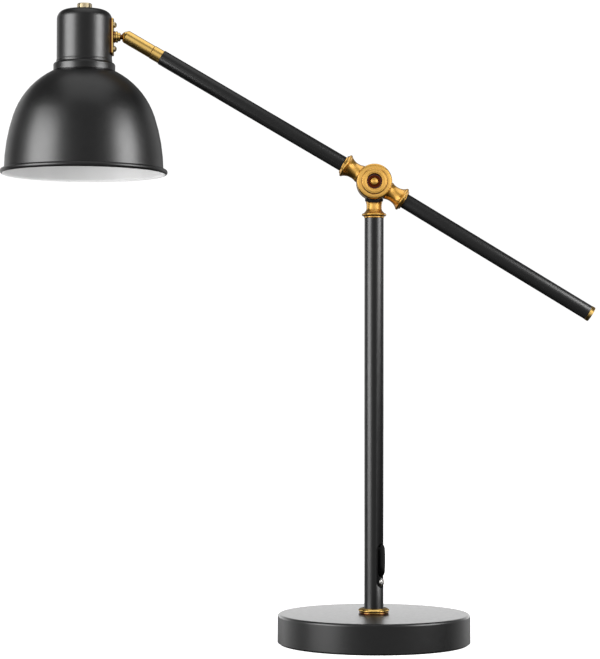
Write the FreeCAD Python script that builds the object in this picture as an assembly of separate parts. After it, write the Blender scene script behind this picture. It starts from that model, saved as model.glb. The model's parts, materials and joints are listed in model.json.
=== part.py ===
import FreeCAD, Part
import math
import os

# Counterweight balance desk lamp. Millimetres, +Z up, the front of the lamp faces -Y.
# Origin: centre of the base's underside, on the table. The shade hangs at -X, the weighted end at +X.

os.makedirs("parts", exist_ok=True)

V = FreeCAD.Vector
UP = V(0, 0, 1)
ACROSS = V(0, 1, 0)
SLIDING_GAP = 0.3           # between faces that move past each other
FIT_GAP = 0.1               # radial clearance of a piece set into another one
PIVOT_GAP = 0.08            # radial clearance of the tongue's eye on the hub bolt
CUT_OVER = 1.0              # how far a cutting shape passes the face it cuts
HEX_CORNER = 1 / math.sqrt(3)   # corner radius of a hexagon, over its width across flats

# --- cross-head screws, as shares of the head's radius and height ---
RECESS_DEPTH_SHARE = 0.35
RECESS_SPAN_SHARE = 1.2
RECESS_BLADE_SHARE = 0.26
HEAD_RIM_SHARE = 0.45
HEAD_CROWN_SHARE = 0.12

# --- base ---
BASE_DIAMETER = 190.0
BASE_HEIGHT = 29.5
BASE_EDGE_RADIUS = 2.6
COVER_WALL = 1.2
PAD_THICKNESS = 1.5
PAD_INSET = 2.4
PLATE_THICKNESS = 1.2
WEIGHT_THICKNESS = 17.0
WEIGHT_MARGIN = 3.0         # between the iron disc and the cover's inner wall
WEIGHT_BOSS_RADIUS = 22.0
WEIGHT_CHAMFER = 2.0
CHANNEL_WIDTH = 11.0
CHANNEL_HEIGHT = 10.5
NUT_POCKET_RADIUS = 14.0
NUT_POCKET_DEPTH = 11.5

# --- cord inlet, low at the back of the base ---
INLET_HEIGHT = 8.6
INLET_BORE = 6.8
INLET_BODY = 9.4
INLET_FLANGE = 13.0
INLET_FLANGE_THICKNESS = 1.6
INLET_LIP_THICKNESS = 1.5
INLET_LIP_RISE = 0.8
INLET_LIP_TAPER = 0.6
INLET_LIP_EDGE = 0.5
INLET_SEAT_DEPTH = 0.6      # back of the flange, inside the cover's outermost line
INLET_RIM_CHAMFER = 0.8
INLET_BORE_CHAMFER = 0.6

# --- hollow threaded rod that clamps the pole to the base ---
ROD_DIAMETER = 10.0
ROD_BORE = 7.0
CLAMP_NUT_FLATS = 17.0
CLAMP_NUT_THICKNESS = 4.5
CLAMP_WASHER_RADIUS = 11.0
CLAMP_WASHER_THICKNESS = 1.5
ROD_TAIL = 1.2              # thread left showing past the nut

# --- foot ring ---
FOOT_RING_DIAMETER = 30.6
FOOT_BAND_HEIGHT = 1.6
FOOT_GROOVE = 0.5
FOOT_RING_HEIGHT = 5.8
FOOT_CROWN_INSET = 1.2
FOOT_CROWN_SAG = 0.35
FOOT_NECK_WALL = 0.6
FOOT_NECK_SAG = 0.3

# --- pole ---
POLE_DIAMETER = 19.05
POLE_WALL = 1.2
POLE_LENGTH = 390.9         # above the base
FOOT_PLUG_LENGTH = 18.0
HEAD_PLUG_LENGTH = 14.0

# --- rocker switch low in the pole, turned towards the front right ---
SWITCH_AZIMUTH = -35.0
SLOT_WIDTH = 12.6
SLOT_LENGTH = 44.8
SLOT_RISE = 47.6            # slot's middle, above the base
HOUSING_FACE_SETBACK = 0.25
HOUSING_LAND_DEPTH = 0.825  # flat land of the housing, inside the pole's round
HOUSING_DEPTH = 3.0         # how far the housing reaches behind the pole's axis
HOUSING_TAB_THICKNESS = 2.7 # thin lower end under the screw's head
HOOK_WIDTH = 9.0
HOOK_REACH = 3.0            # hook behind the pole's wall, above the slot
HOOK_THICKNESS = 4.0
ROCKER_WIDTH = 9.0
ROCKER_LENGTH = 31.5
ROCKER_RISE = 1.075         # crown of the rocker, outside the pole's round
ROCKER_CROWN = 0.9
ROCKER_THICKNESS = 8.1
ROCKER_PIVOT_DEPTH = 5.4    # pivot line, behind the crown
ROCKER_END_MARGIN = 1.5     # between the slot's upper end and the rocker
ROCKER_SIDE_GAP = 0.35
ROCKER_END_GAP = 0.8
TRUNNION_RADIUS = 1.1
TRUNNION_END_GAP = 0.2      # between a trunnion's end and the slot's side
ROCKER_FLOOR_GAP = 1.5      # housing's floor, below the rocker
SWITCH_SCREW_HEAD = 7.4
SWITCH_SCREW_HEAD_HEIGHT = 2.4
SWITCH_SCREW_SHANK = 3.0
SWITCH_SCREW_RISE = 6.4     # screw above the slot's lower end
SWITCH_SCREW_TAIL = 1.0     # thread left showing past the clamp bar
CLAMP_BAR_THICKNESS = 2.4
CLAMP_BAR_WIDTH = 9.0
CLAMP_BAR_LENGTH = 17.0

# --- collar on the pole top, with the hub's saddle ---
COLLAR_LIP_OVERHANG = 0.375 # lip's radius past the pole's
COLLAR_LIP_HEIGHT = 1.2
COLLAR_BEAD_RISE = 2.3      # bead's radius past the lip's
COLLAR_BEAD_EDGE = 1.1
COLLAR_BEAD_STEP = 0.4
COLLAR_BEAD_HEIGHT = 4.4
COLLAR_WAIST_RADIUS = 7.6
COLLAR_COVE_SAG = 1.0
COLLAR_NECK_SAG = 0.3
COLLAR_WAIST_HEIGHT = 10.6
COLLAR_TOP_RADIUS = 8.7
COLLAR_HEIGHT = 17.9        # hub's lowest line, above the pole's end
LINER_THICKNESS = 2.7
LINER_RADIUS = 9.0

# --- hub ---
HUB_RADIUS = 17.6
HUB_DEPTH = 24.0
HUB_EDGE_SAG = 1.5
FACE_RING_RADIUS = 12.8
FACE_RING_RISE = 1.5
FACE_EDGE = 0.8             # width of the rounded edges of the hub's faces
FACE_EDGE_SAG = 0.2
FACE_RING_CROWN = 0.25
FACE_CROWN = 0.35
RECESS_RADIUS = 7.5
RECESS_DEPTH = 5.5
TONGUE_THICKNESS = 6.0
TONGUE_EYE_RADIUS = 10.5
TONGUE_NECK = 10.0
TONGUE_STEM_RADIUS = 5.0
TONGUE_STEM_LENGTH = 12.0
BOLT_DIAMETER = 5.0
BOLT_HEAD_RADIUS = 4.1
BOLT_HEAD_HEIGHT = 3.4
HUB_WASHER_RADIUS = 6.2
HUB_WASHER_THICKNESS = 0.9
HUB_NUT_FLATS = 8.0
HUB_NUT_THICKNESS = 3.6
HUB_BOLT_TAIL = 0.6         # thread left showing past the nut
HUB_BOLT_RIM = 1.0
HUB_BOLT_CHAMFER = 0.5
DISC_THICKNESS = 0.8        # friction disc each side of the tongue
DISC_GAP = 0.2              # between a friction disc and the tongue
DISC_RADIUS = 9.0
ARM_LOWEST = -61.0          # arm tilt limits, degrees from rest, where a socket meets the saddle liner
ARM_HIGHEST = 0.0

# --- turned sockets of the hub, distances from the hub's centre ---
SOCKET_BULGE_AT = 17.3
SOCKET_BULGE_RISE = 1.35    # radii of the turned socket, past the arm tube's
SOCKET_WAIST_AT = 21.6
SOCKET_WAIST_RISE = 0.4
SOCKET_BEAD_AT = 32.3
SOCKET_BEAD_RISE = 4.35
SOCKET_BEAD_WIDTH = 2.6
SOCKET_END = 35.4
SOCKET_END_RISE = 1.65
SOCKET_ROOT = 6.0           # where the socket starts inside the hub
SOCKET_BULGE_LENGTH = 1.5
SOCKET_ROOT_INSET = 0.8
SOCKET_BEAD_EDGE = 0.5
SOCKET_COVE_SAG = 1.0
SOCKET_SOFT_SAG = 0.3
SOCKET_BEAD_SAG = 0.6
SOCKET_STOP_GAP = 0.44      # between the bulge and the saddle liner at the arm's stops
LEAD_BORE = 5.0

# --- arm ---
FRONT_ARM_RISE = 30.4       # degrees above the horizontal
REAR_ARM_DROP = 31.3        # degrees below the horizontal
ARM_TUBE_DIAMETER = 15.1
ARM_TUBE_WALL = 1.0
FRONT_TUBE_END = 245.0
REAR_TUBE_END = 248.4
END_CAP_LIP = 0.2           # cap's radius past the tube's
END_CAP_LENGTH = 4.0
END_CAP_CHAMFER = 0.7
END_CAP_SPIGOT = 6.0
WEIGHT_BAR_START = 42.4     # inner end of the iron bar, from the hub's centre

# --- swivel at the front end of the arm ---
BALL_RADIUS = 5.4
SEAT_GAP = 0.2
LIP_AHEAD = 1.9             # mouth of the sleeve, ahead of the ball's centre
ADAPTER_STEP = 0.3          # adapter's radius past the sleeve's
ADAPTER_LENGTH = 10.6
ADAPTER_TAIL = 10.0
ADAPTER_SPIGOT = 14.0
ADAPTER_SPIGOT_STEP = 0.6   # spigot's radius, short of the sleeve's bore
SLEEVE_TO_BALL = 29.4       # ball centre, from the sleeve's back end
SLEEVE_WALL = 1.0
SLEEVE_CHAMFER = 0.3
SLEEVE_NOSE_AHEAD = 0.2     # where the nose starts, ahead of the ball's centre
SLEEVE_MOUTH_WALL = 0.5
LEAD_HOLE = 1.6             # radius of the way for the leads through adapter and ball
SEAT_LENGTH = 5.0
SEAT_BACKSET = 1.6          # front edge of the seat, behind the ball's centre
SEAT_BORE_STEP = 0.8        # radius of the seat's bore past the lead hole's
DISC_SPRING_COUNT = 4
DISC_SPRING_THICKNESS = 0.6
DISC_SPRING_BORE_STEP = 1.0 # radius of the springs' bore past the lead hole's

# --- stud and bracket on the shade cap, distances from the ball's centre ---
STUD_NECK_RADIUS = 2.5
STUD_NECK_END = 6.2
STUD_NECK_CHAMFER = 0.4
STUD_STEM_RADIUS = 4.3
STUD_STEM_END = 9.0
STUD_BOSS_RADIUS = 5.75
STUD_BOSS_EDGE = 0.3
STUD_BOSS_SAG = 0.25
STUD_GROOVE_WIDTH = 0.5
STUD_GROOVE_DEPTH = 0.7
STUD_BOSS_END = 13.2
STUD_SHANK_RADIUS = 3.5
STUD_TAIL = 1.0
STUD_NUT_FLATS = 11.0
STUD_NUT_THICKNESS = 3.0
BRACKET_THICKNESS = 1.5
BRACKET_WIDTH = 14.0
BRACKET_HEIGHT = 37.0
BRACKET_CORNER = 3.0
BRACKET_SCREW_SPACING = 23.9
BRACKET_SCREW_HEAD = 5.9
BRACKET_SCREW_HEIGHT = 3.2
BRACKET_SCREW_SHANK = 3.0
BRACKET_SCREW_TAIL = 1.2
BRACKET_NUT_FLATS = 5.5
BRACKET_NUT_THICKNESS = 2.4

# --- shade ---
CAP_RADIUS = 27.4
CAP_RISE = 26.48            # cap's top, above the ball's centre
CAP_HEIGHT = 51.0
CAP_CORNER = 9.5
SHADE_WALL = 1.0
RING_RADIUS = 30.6
RING_SHOULDER = 28.4
RING_BAND = 4.6
RING_BORE = 25.5
RING_HEIGHT = 10.8
RING_FOOT_HEIGHT = 1.0
RING_FOOT_INSET = 0.9
RING_FOOT_CHAMFER = 0.3
RING_STEP_HEIGHT = 1.2
RING_STEP_INSET = 1.0
RING_SHOULDER_DROP = 1.4
RING_SHOULDER_SAG = 0.7
NECK_RADIUS = 33.0
SHOULDER_RADIUS = 77.0
SIDE_RADIUS = 177.0
SIDE_SWEEP = 18.1
RIM_RADIUS = 78.8           # outside of the wall where it meets the rim bead
RIM_BEAD_RADIUS = 2.55
KNOB_RADIUS = 7.4
KNOB_HEIGHT = 6.8
KNOB_CHAMFER = 0.8

# --- lampholder and bulb ---
NIPPLE_DIAMETER = 9.6
NIPPLE_BORE = 6.4
NIPPLE_LENGTH = 22.0
NIPPLE_IN_KNOB = 4.5
NIPPLE_NUT_FLATS = 14.0
NIPPLE_NUT_THICKNESS = 3.2
HOLDER_TOP_DROP = 11.0      # lampholder cap, below the shade cap's top
HOLDER_CAP_RADIUS = 19.0
HOLDER_CAP_HEIGHT = 17.0
HOLDER_WALL = 2.2
HOLDER_SHOULDER = 6.0
HOLDER_BODY_RADIUS = 18.4
HOLDER_FLOOR = 3.0
SCREW_SHELL_RADIUS = 14.2
SCREW_SHELL_WALL = 0.5
SCREW_SHELL_LENGTH = 26.0
BULB_BASE_RADIUS = 13.1
BULB_BASE_LENGTH = 24.0
BULB_BASE_TAPER = 4.5
BULB_BASE_TAPER_HEIGHT = 3.0
BULB_RADIUS = 30.0
BULB_NECK_RADIUS = 13.2
BULB_LENGTH = 79.0
BULB_WALL = 0.8
BULB_WAIST_INSET = 7.2
BULB_WAIST_RISE = 19.8
BULB_WAIST_SLOPE = 36.87
BULB_NECK_SAG = 1.6
BULB_SIDE_SAG = 2.3
CONTACT_RADIUS = 4.5
CONTACT_HEIGHT = 2.6
CONTACT_TIP_RADIUS = 3.0
CONTACT_TIP_HEIGHT = 1.0


def direction(angle):
    """Unit vector in the lamp's upright plane, from +X towards +Z."""
    return V(math.cos(math.radians(angle)), 0, math.sin(math.radians(angle)))


# --- worked out from the sizes above ---
COVER_RADIUS = BASE_DIAMETER / 2
WEIGHT_FLOOR = PAD_THICKNESS + PLATE_THICKNESS
POLE_RADIUS = POLE_DIAMETER / 2
POLE_BORE = POLE_RADIUS - POLE_WALL
POLE_TOP = BASE_HEIGHT + POLE_LENGTH
SLOT_CENTRE_HEIGHT = BASE_HEIGHT + SLOT_RISE
HOUSING_LAND = POLE_RADIUS - HOUSING_LAND_DEPTH
HOUSING_TAB = HOUSING_LAND - HOUSING_TAB_THICKNESS
ROCKER_FACE = POLE_RADIUS + ROCKER_RISE
ROCKER_ROOT = ROCKER_FACE - ROCKER_THICKNESS
ROCKER_PIVOT = ROCKER_FACE - ROCKER_PIVOT_DEPTH
COLLAR_LIP_RADIUS = POLE_RADIUS + COLLAR_LIP_OVERHANG
TUBE_RADIUS = ARM_TUBE_DIAMETER / 2
TUBE_BORE = TUBE_RADIUS - ARM_TUBE_WALL
SOCKET_BULGE_RADIUS = TUBE_RADIUS + SOCKET_BULGE_RISE
SADDLE_RADIUS = HUB_RADIUS + SLIDING_GAP + LINER_THICKNESS
HUB_HEIGHT = POLE_TOP + COLLAR_HEIGHT + HUB_RADIUS
HUB = V(0, 0, HUB_HEIGHT)
FRONT = direction(180 - FRONT_ARM_RISE)
REAR = direction(-REAR_ARM_DROP)
BALL_CAVITY = BALL_RADIUS + SEAT_GAP
SLEEVE_RADIUS = BALL_CAVITY + SLEEVE_WALL
ADAPTER_SPIGOT_RADIUS = BALL_CAVITY - ADAPTER_SPIGOT_STEP
SLEEVE_LOW = FRONT_TUBE_END + ADAPTER_LENGTH
SPIGOT_END = SLEEVE_LOW + ADAPTER_SPIGOT
BALL_REACH = SLEEVE_LOW + SLEEVE_TO_BALL
BALL = HUB + FRONT * BALL_REACH
STUD_WAY = V(-1, 0, 0)
SHADE_AXIS = BALL.x - STUD_BOSS_END - BRACKET_THICKNESS - CAP_RADIUS
CAP_TOP = BALL.z + CAP_RISE
CAP_BOTTOM = CAP_TOP - CAP_HEIGHT
NECK_HEIGHT = CAP_BOTTOM - RING_HEIGHT


# --- shared shapes ---
def outline(start, steps):
    """Closed wire in the X-Z plane. A step (x, z) is a line, (x, z, sag) an arc that bows left by sag."""
    edges = []
    here = V(start[0], 0, start[1])
    for step in list(steps) + [start]:
        there = V(step[0], 0, step[1])
        if here.distanceToPoint(there) < 1e-9:
            continue
        if len(step) == 3:
            way = (there - here).normalize()
            middle = (here + there) * 0.5 + V(-way.z, 0, way.x) * step[2]
            edges.append(Part.Arc(here, middle, there).toShape())
        else:
            edges.append(Part.LineSegment(here, there).toShape())
        here = there
    return Part.Wire(edges)


def turned(start, *steps):
    """Solid turned about Z from its closed outline of radius and height."""
    return Part.Face(outline(start, steps)).revolve(V(0, 0, 0), UP, 360)


def cylinder(radius, low, high, bore=0):
    """Upright cylinder, or tube, between two heights."""
    solid = Part.makeCylinder(radius, high - low, V(0, 0, low))
    if bore:
        solid = solid.cut(Part.makeCylinder(bore, high - low, V(0, 0, low)))
    return solid


def crosswise(radius, low, high, centre=V(0, 0, 0)):
    """Cylinder along Y between two depths."""
    return Part.makeCylinder(radius, high - low, centre + ACROSS * low, ACROSS)


def block(size_x, size_y, size_z, centre):
    """Box about a centre."""
    corner = centre - V(size_x, size_y, size_z) * 0.5
    return Part.makeBox(size_x, size_y, size_z, corner)


def hexagon(flats, low, high, bore):
    """Hexagon nut about Z between two heights."""
    corners = []
    for index in range(7):
        turn = math.radians(60 * index)
        corners.append(V(math.cos(turn), math.sin(turn), 0) * (flats * HEX_CORNER) + UP * low)
    nut = Part.Face(Part.makePolygon(corners)).extrude(UP * (high - low))
    return nut.cut(Part.makeCylinder(bore, high - low, V(0, 0, low)))


def stadium(width, length, low, high):
    """Prism along Z whose outline is a slot with round ends, its length along Y."""
    radius = width / 2
    reach = length / 2 - radius
    ends = [V(radius, -reach, low), V(radius, reach, low), V(-radius, reach, low), V(-radius, -reach, low)]
    edges = [
        Part.LineSegment(ends[0], ends[1]).toShape(),
        Part.Arc(ends[1], V(0, reach + radius, low), ends[2]).toShape(),
        Part.LineSegment(ends[2], ends[3]).toShape(),
        Part.Arc(ends[3], V(0, -reach - radius, low), ends[0]).toShape(),
    ]
    return Part.Face(Part.Wire(edges)).extrude(UP * (high - low))


def cross_recess(head_radius, top):
    """Cross-shaped driver recess, cut down from the top of a screw head."""
    depth = head_radius * RECESS_DEPTH_SHARE
    span = head_radius * RECESS_SPAN_SHARE
    blade = head_radius * RECESS_BLADE_SHARE
    centre = V(0, 0, top - depth / 2)
    return block(span, blade, depth, centre).fuse(block(blade, span, depth, centre))


def pan_screw(head_diameter, head_height, shank_diameter, shank_length):
    """Cross-head screw along Z: the head stands on z = 0, the shank goes down."""
    radius = head_diameter / 2
    rim = head_height * HEAD_RIM_SHARE
    head = turned((0, 0), (radius, 0), (radius, rim), (0, head_height, -head_height * HEAD_CROWN_SHARE))
    head = head.cut(cross_recess(radius, head_height))
    return head.fuse(cylinder(shank_diameter / 2, -shank_length, 0))


def along(shape, origin, way):
    """Moves a shape made about Z so that it starts at origin and points along way."""
    shape.Placement = FreeCAD.Placement(origin, FreeCAD.Rotation(UP, way)).multiply(shape.Placement)
    return shape


def on_shade(shape):
    """Moves a shape made about Z onto the shade's upright axis."""
    shape.translate(V(SHADE_AXIS, 0, 0))
    return shape


def quarter_sag(radius):
    """Sag of a quarter circle."""
    return radius * (1 - math.cos(math.pi / 4))


# --- base ---
def base_pad():
    """Foam pad that the lamp stands on."""
    return cylinder(COVER_RADIUS - PAD_INSET, 0, PAD_THICKNESS)


def base_plate():
    """Steel disc that closes the cover's underside."""
    return cylinder(COVER_RADIUS - COVER_WALL - FIT_GAP, PAD_THICKNESS, WEIGHT_FLOOR)


def inlet_axis_hole(diameter, low, high):
    """Cylinder along the cord inlet's axis between two distances from the pole."""
    return crosswise(diameter / 2, low, high, V(0, 0, INLET_HEIGHT))


def base_cover():
    """Spun steel cover, open below, with the cord inlet's hole in its wall."""
    inner = COVER_RADIUS - COVER_WALL
    roof = BASE_HEIGHT - COVER_WALL
    corner = BASE_EDGE_RADIUS
    inner_corner = corner - COVER_WALL
    hole = ROD_DIAMETER / 2 + FIT_GAP
    shell = turned(
        (COVER_RADIUS, PAD_THICKNESS),
        (COVER_RADIUS, BASE_HEIGHT - corner),
        (COVER_RADIUS - corner, BASE_HEIGHT, -quarter_sag(corner)),
        (hole, BASE_HEIGHT),
        (hole, roof),
        (inner - inner_corner, roof),
        (inner, roof - inner_corner, quarter_sag(inner_corner)),
        (inner, PAD_THICKNESS),
    )
    return shell.cut(inlet_axis_hole(INLET_BODY + 2 * FIT_GAP, inner - 2 * CUT_OVER, COVER_RADIUS + CUT_OVER))


def base_weight():
    """Cast iron disc with a boss under the cover's roof, a pocket for the nut and a channel for the leads."""
    radius = COVER_RADIUS - COVER_WALL - WEIGHT_MARGIN
    top = WEIGHT_FLOOR + WEIGHT_THICKNESS
    boss_top = BASE_HEIGHT - COVER_WALL
    edge = WEIGHT_CHAMFER
    body = turned(
        (0, WEIGHT_FLOOR),
        (radius, WEIGHT_FLOOR),
        (radius, top - edge),
        (radius - edge, top),
        (WEIGHT_BOSS_RADIUS + edge, top),
        (WEIGHT_BOSS_RADIUS, top + edge),
        (WEIGHT_BOSS_RADIUS, boss_top),
        (0, boss_top),
    )
    body = body.cut(cylinder(ROD_DIAMETER / 2 + FIT_GAP, 0, BASE_HEIGHT))
    body = body.cut(cylinder(NUT_POCKET_RADIUS, 0, WEIGHT_FLOOR + NUT_POCKET_DEPTH))
    reach = radius + CUT_OVER
    middle = V(0, reach / 2, WEIGHT_FLOOR + CHANNEL_HEIGHT / 2)
    return body.cut(block(CHANNEL_WIDTH, reach, CHANNEL_HEIGHT, middle))


def inlet_bushing():
    """Rubber bushing snapped into the inlet hole: a flange outside the wall and a lip inside it."""
    wall_out = COVER_RADIUS
    wall_in = COVER_RADIUS - COVER_WALL
    bore = INLET_BORE / 2
    flange = INLET_FLANGE / 2
    face_out = wall_out + INLET_FLANGE_THICKNESS
    face_in = wall_in - INLET_LIP_THICKNESS
    body = INLET_BODY / 2
    lip = body + INLET_LIP_RISE
    seat = wall_out - INLET_SEAT_DEPTH
    bush = turned(
        (bore, face_in),
        (lip - INLET_LIP_TAPER, face_in),
        (lip, wall_in - INLET_LIP_EDGE),
        (lip, wall_in),
        (body, wall_in),
        (body, seat),
        (flange, seat),
        (flange, face_out - INLET_RIM_CHAMFER),
        (flange - INLET_RIM_CHAMFER, face_out),
        (bore + INLET_BORE_CHAMFER, face_out),
        (bore, face_out - INLET_BORE_CHAMFER),
    )
    bush = along(bush, V(0, 0, INLET_HEIGHT), ACROSS)
    return bush.cut(cover_wall())


def cover_wall():
    """Upright wall of the cover without its inlet hole's surroundings, used to shape what sits against it."""
    wall = cylinder(COVER_RADIUS, PAD_THICKNESS, BASE_HEIGHT, COVER_RADIUS - COVER_WALL)
    return wall.cut(inlet_axis_hole(INLET_BODY, 0, COVER_RADIUS + CUT_OVER))


def rod_bottom():
    """Height of the rod's lower end, past its nut."""
    seat = WEIGHT_FLOOR + NUT_POCKET_DEPTH
    return seat - CLAMP_WASHER_THICKNESS - CLAMP_NUT_THICKNESS - ROD_TAIL


def clamp_rod():
    """Hollow threaded rod from the nut up into the pole's foot plug."""
    top = BASE_HEIGHT + FOOT_PLUG_LENGTH
    return cylinder(ROD_DIAMETER / 2, rod_bottom(), top, ROD_BORE / 2)


def clamp_washer():
    """Washer against the roof of the weight's pocket."""
    top = WEIGHT_FLOOR + NUT_POCKET_DEPTH
    return cylinder(CLAMP_WASHER_RADIUS, top - CLAMP_WASHER_THICKNESS, top, ROD_DIAMETER / 2 + FIT_GAP)


def clamp_nut():
    """Nut that draws the pole down onto the base."""
    top = WEIGHT_FLOOR + NUT_POCKET_DEPTH - CLAMP_WASHER_THICKNESS
    return hexagon(CLAMP_NUT_FLATS, top - CLAMP_NUT_THICKNESS, top, ROD_DIAMETER / 2)


# --- pole ---
def foot_ring():
    """Brass ring round the pole's foot: a band, a fine groove and a rounded crown."""
    outer = FOOT_RING_DIAMETER / 2
    bore = POLE_RADIUS + FIT_GAP
    floor = BASE_HEIGHT
    band = floor + FOOT_BAND_HEIGHT
    upper = band + FOOT_GROOVE
    top = floor + FOOT_RING_HEIGHT
    crown = upper + FOOT_BAND_HEIGHT
    return turned(
        (bore, floor),
        (outer, floor),
        (outer, band),
        (outer - FOOT_GROOVE, band),
        (outer - FOOT_GROOVE, upper),
        (outer, upper),
        (outer - FOOT_CROWN_INSET, crown, -FOOT_CROWN_SAG),
        (bore + FOOT_NECK_WALL, top, -FOOT_NECK_SAG),
        (bore, top),
    )


def switch_axes():
    """Placement of the switch: local X round the pole, local Y up, local Z out of the pole."""
    turn = math.radians(SWITCH_AZIMUTH)
    out = V(math.cos(turn), math.sin(turn), 0)
    turning = FreeCAD.Rotation(UP.cross(out), UP, out, "ZYX")
    return FreeCAD.Placement(V(0, 0, SLOT_CENTRE_HEIGHT), turning)


def at_switch(shape):
    """Moves a shape made in the switch's local axes to its place in the pole."""
    shape.Placement = switch_axes().multiply(shape.Placement)
    return shape


def pole_round(radius):
    """Cylinder on the pole's axis in the switch's local axes."""
    return Part.makeCylinder(radius, 2 * SLOT_LENGTH, V(0, -SLOT_LENGTH, 0), V(0, 1, 0))


def pole_tube():
    """Pole with the slot of its switch."""
    tube = cylinder(POLE_RADIUS, BASE_HEIGHT, POLE_TOP, POLE_BORE)
    return tube.cut(at_switch(stadium(SLOT_WIDTH, SLOT_LENGTH, 0, POLE_RADIUS + CUT_OVER)))


def foot_plug():
    """Plug in the pole's foot, threaded for the rod."""
    return cylinder(POLE_BORE - FIT_GAP, BASE_HEIGHT, BASE_HEIGHT + FOOT_PLUG_LENGTH, ROD_DIAMETER / 2)


def head_plug():
    """Plug in the pole's top, threaded for the tongue's stem."""
    return cylinder(POLE_BORE - FIT_GAP, POLE_TOP - HEAD_PLUG_LENGTH, POLE_TOP, TONGUE_STEM_RADIUS)


# --- switch, in its local axes ---
ROCKER_CENTRE = SLOT_LENGTH / 2 - ROCKER_END_MARGIN - ROCKER_LENGTH / 2
SCREW_AT = SWITCH_SCREW_RISE - SLOT_LENGTH / 2


def rocker_prism(margin_side, margin_end, low, high):
    """Rocker outline, widened by a margin, between two distances from the pole's axis."""
    prism = stadium(ROCKER_WIDTH + 2 * margin_side, ROCKER_LENGTH + 2 * margin_end, low, high)
    prism.translate(V(0, ROCKER_CENTRE, 0))
    return prism


def trunnion_pin(radius, reach):
    """Pin on the rocker's pivot line, as long to each side as reach."""
    return Part.makeCylinder(radius, 2 * reach, V(-reach, ROCKER_CENTRE, ROCKER_PIVOT), V(1, 0, 0))


def switch_housing():
    """Housing that fills the slot: a pocket for the rocker, a hook behind the wall and a tab for the screw."""
    face = POLE_RADIUS - HOUSING_FACE_SETBACK
    width = SLOT_WIDTH - 2 * FIT_GAP
    body = stadium(width, SLOT_LENGTH - 2 * FIT_GAP, -HOUSING_DEPTH, face).common(pole_round(face))
    land = Part.makeBox(width, SLOT_LENGTH, face, V(-width / 2, -SLOT_LENGTH / 2, HOUSING_LAND))
    body = body.cut(land)
    tab_top = SCREW_AT + CLAMP_BAR_WIDTH / 2 + FIT_GAP
    below_tab = Part.makeBox(SLOT_WIDTH, SLOT_LENGTH, HOUSING_DEPTH + HOUSING_TAB,
                             V(-SLOT_WIDTH / 2, tab_top - SLOT_LENGTH, -HOUSING_DEPTH))
    body = body.cut(below_tab)
    hook = Part.makeBox(HOOK_WIDTH, 2 * HOOK_REACH, HOOK_THICKNESS,
                        V(-HOOK_WIDTH / 2, SLOT_LENGTH / 2 - HOOK_REACH, POLE_BORE - HOOK_THICKNESS))
    body = body.fuse(hook.common(pole_round(POLE_BORE - FIT_GAP)))
    body = body.cut(rocker_prism(ROCKER_SIDE_GAP, ROCKER_END_GAP, ROCKER_ROOT - ROCKER_FLOOR_GAP, POLE_RADIUS))
    body = body.cut(trunnion_pin(TRUNNION_RADIUS + FIT_GAP, width))
    shank = SWITCH_SCREW_SHANK / 2 + FIT_GAP
    hole = Part.makeCylinder(shank, 2 * POLE_DIAMETER, V(0, SCREW_AT, -POLE_DIAMETER), UP)
    return at_switch(body.cut(hole))


def switch_rocker():
    """Rocker with a crowned face, on two trunnions."""
    crown_radius = (ROCKER_LENGTH / 2) ** 2 / (2 * ROCKER_CROWN)
    body = rocker_prism(0, 0, ROCKER_ROOT, ROCKER_FACE)
    crown_centre = V(-ROCKER_WIDTH, ROCKER_CENTRE, ROCKER_FACE - crown_radius)
    crown = Part.makeCylinder(crown_radius, 2 * ROCKER_WIDTH, crown_centre, V(1, 0, 0))
    pin_reach = SLOT_WIDTH / 2 - FIT_GAP - TRUNNION_END_GAP
    return at_switch(body.common(crown).fuse(trunnion_pin(TRUNNION_RADIUS, pin_reach)))


def switch_screw():
    """Screw that draws the clamp bar up behind the housing's tab."""
    clamped = HOUSING_LAND - HOUSING_TAB + CLAMP_BAR_THICKNESS
    reach = clamped + SWITCH_SCREW_TAIL
    screw = pan_screw(SWITCH_SCREW_HEAD, SWITCH_SCREW_HEAD_HEIGHT, SWITCH_SCREW_SHANK, reach)
    screw.translate(V(0, SCREW_AT, HOUSING_LAND))
    return at_switch(screw)


def switch_clamp_bar():
    """Bar behind the housing's lower end: the screw draws its toe against the inside of the pole's wall."""
    low = HOUSING_TAB - CLAMP_BAR_THICKNESS
    middle = V(0, SCREW_AT + CLAMP_BAR_WIDTH / 2 - CLAMP_BAR_LENGTH / 2, 0)
    bar = stadium(CLAMP_BAR_WIDTH, CLAMP_BAR_LENGTH, low, HOUSING_TAB)
    bar.translate(middle)
    toe = stadium(CLAMP_BAR_WIDTH, CLAMP_BAR_LENGTH, low, POLE_BORE)
    toe.translate(middle)
    below_slot = -SLOT_LENGTH / 2 - SLIDING_GAP
    toe = toe.common(Part.makeBox(POLE_DIAMETER, CLAMP_BAR_LENGTH, POLE_DIAMETER,
                                  V(-POLE_RADIUS, below_slot - CLAMP_BAR_LENGTH, 0)))
    bar = bar.fuse(toe).common(pole_round(POLE_BORE - FIT_GAP))
    thread = Part.makeCylinder(SWITCH_SCREW_SHANK / 2, POLE_DIAMETER, V(0, SCREW_AT, -POLE_RADIUS), UP)
    return at_switch(bar.cut(thread))


# --- pole top ---
def saddle_cut(radius):
    """Round across the pole about the hub's pin."""
    return crosswise(radius, -POLE_DIAMETER, POLE_DIAMETER, HUB)


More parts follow.
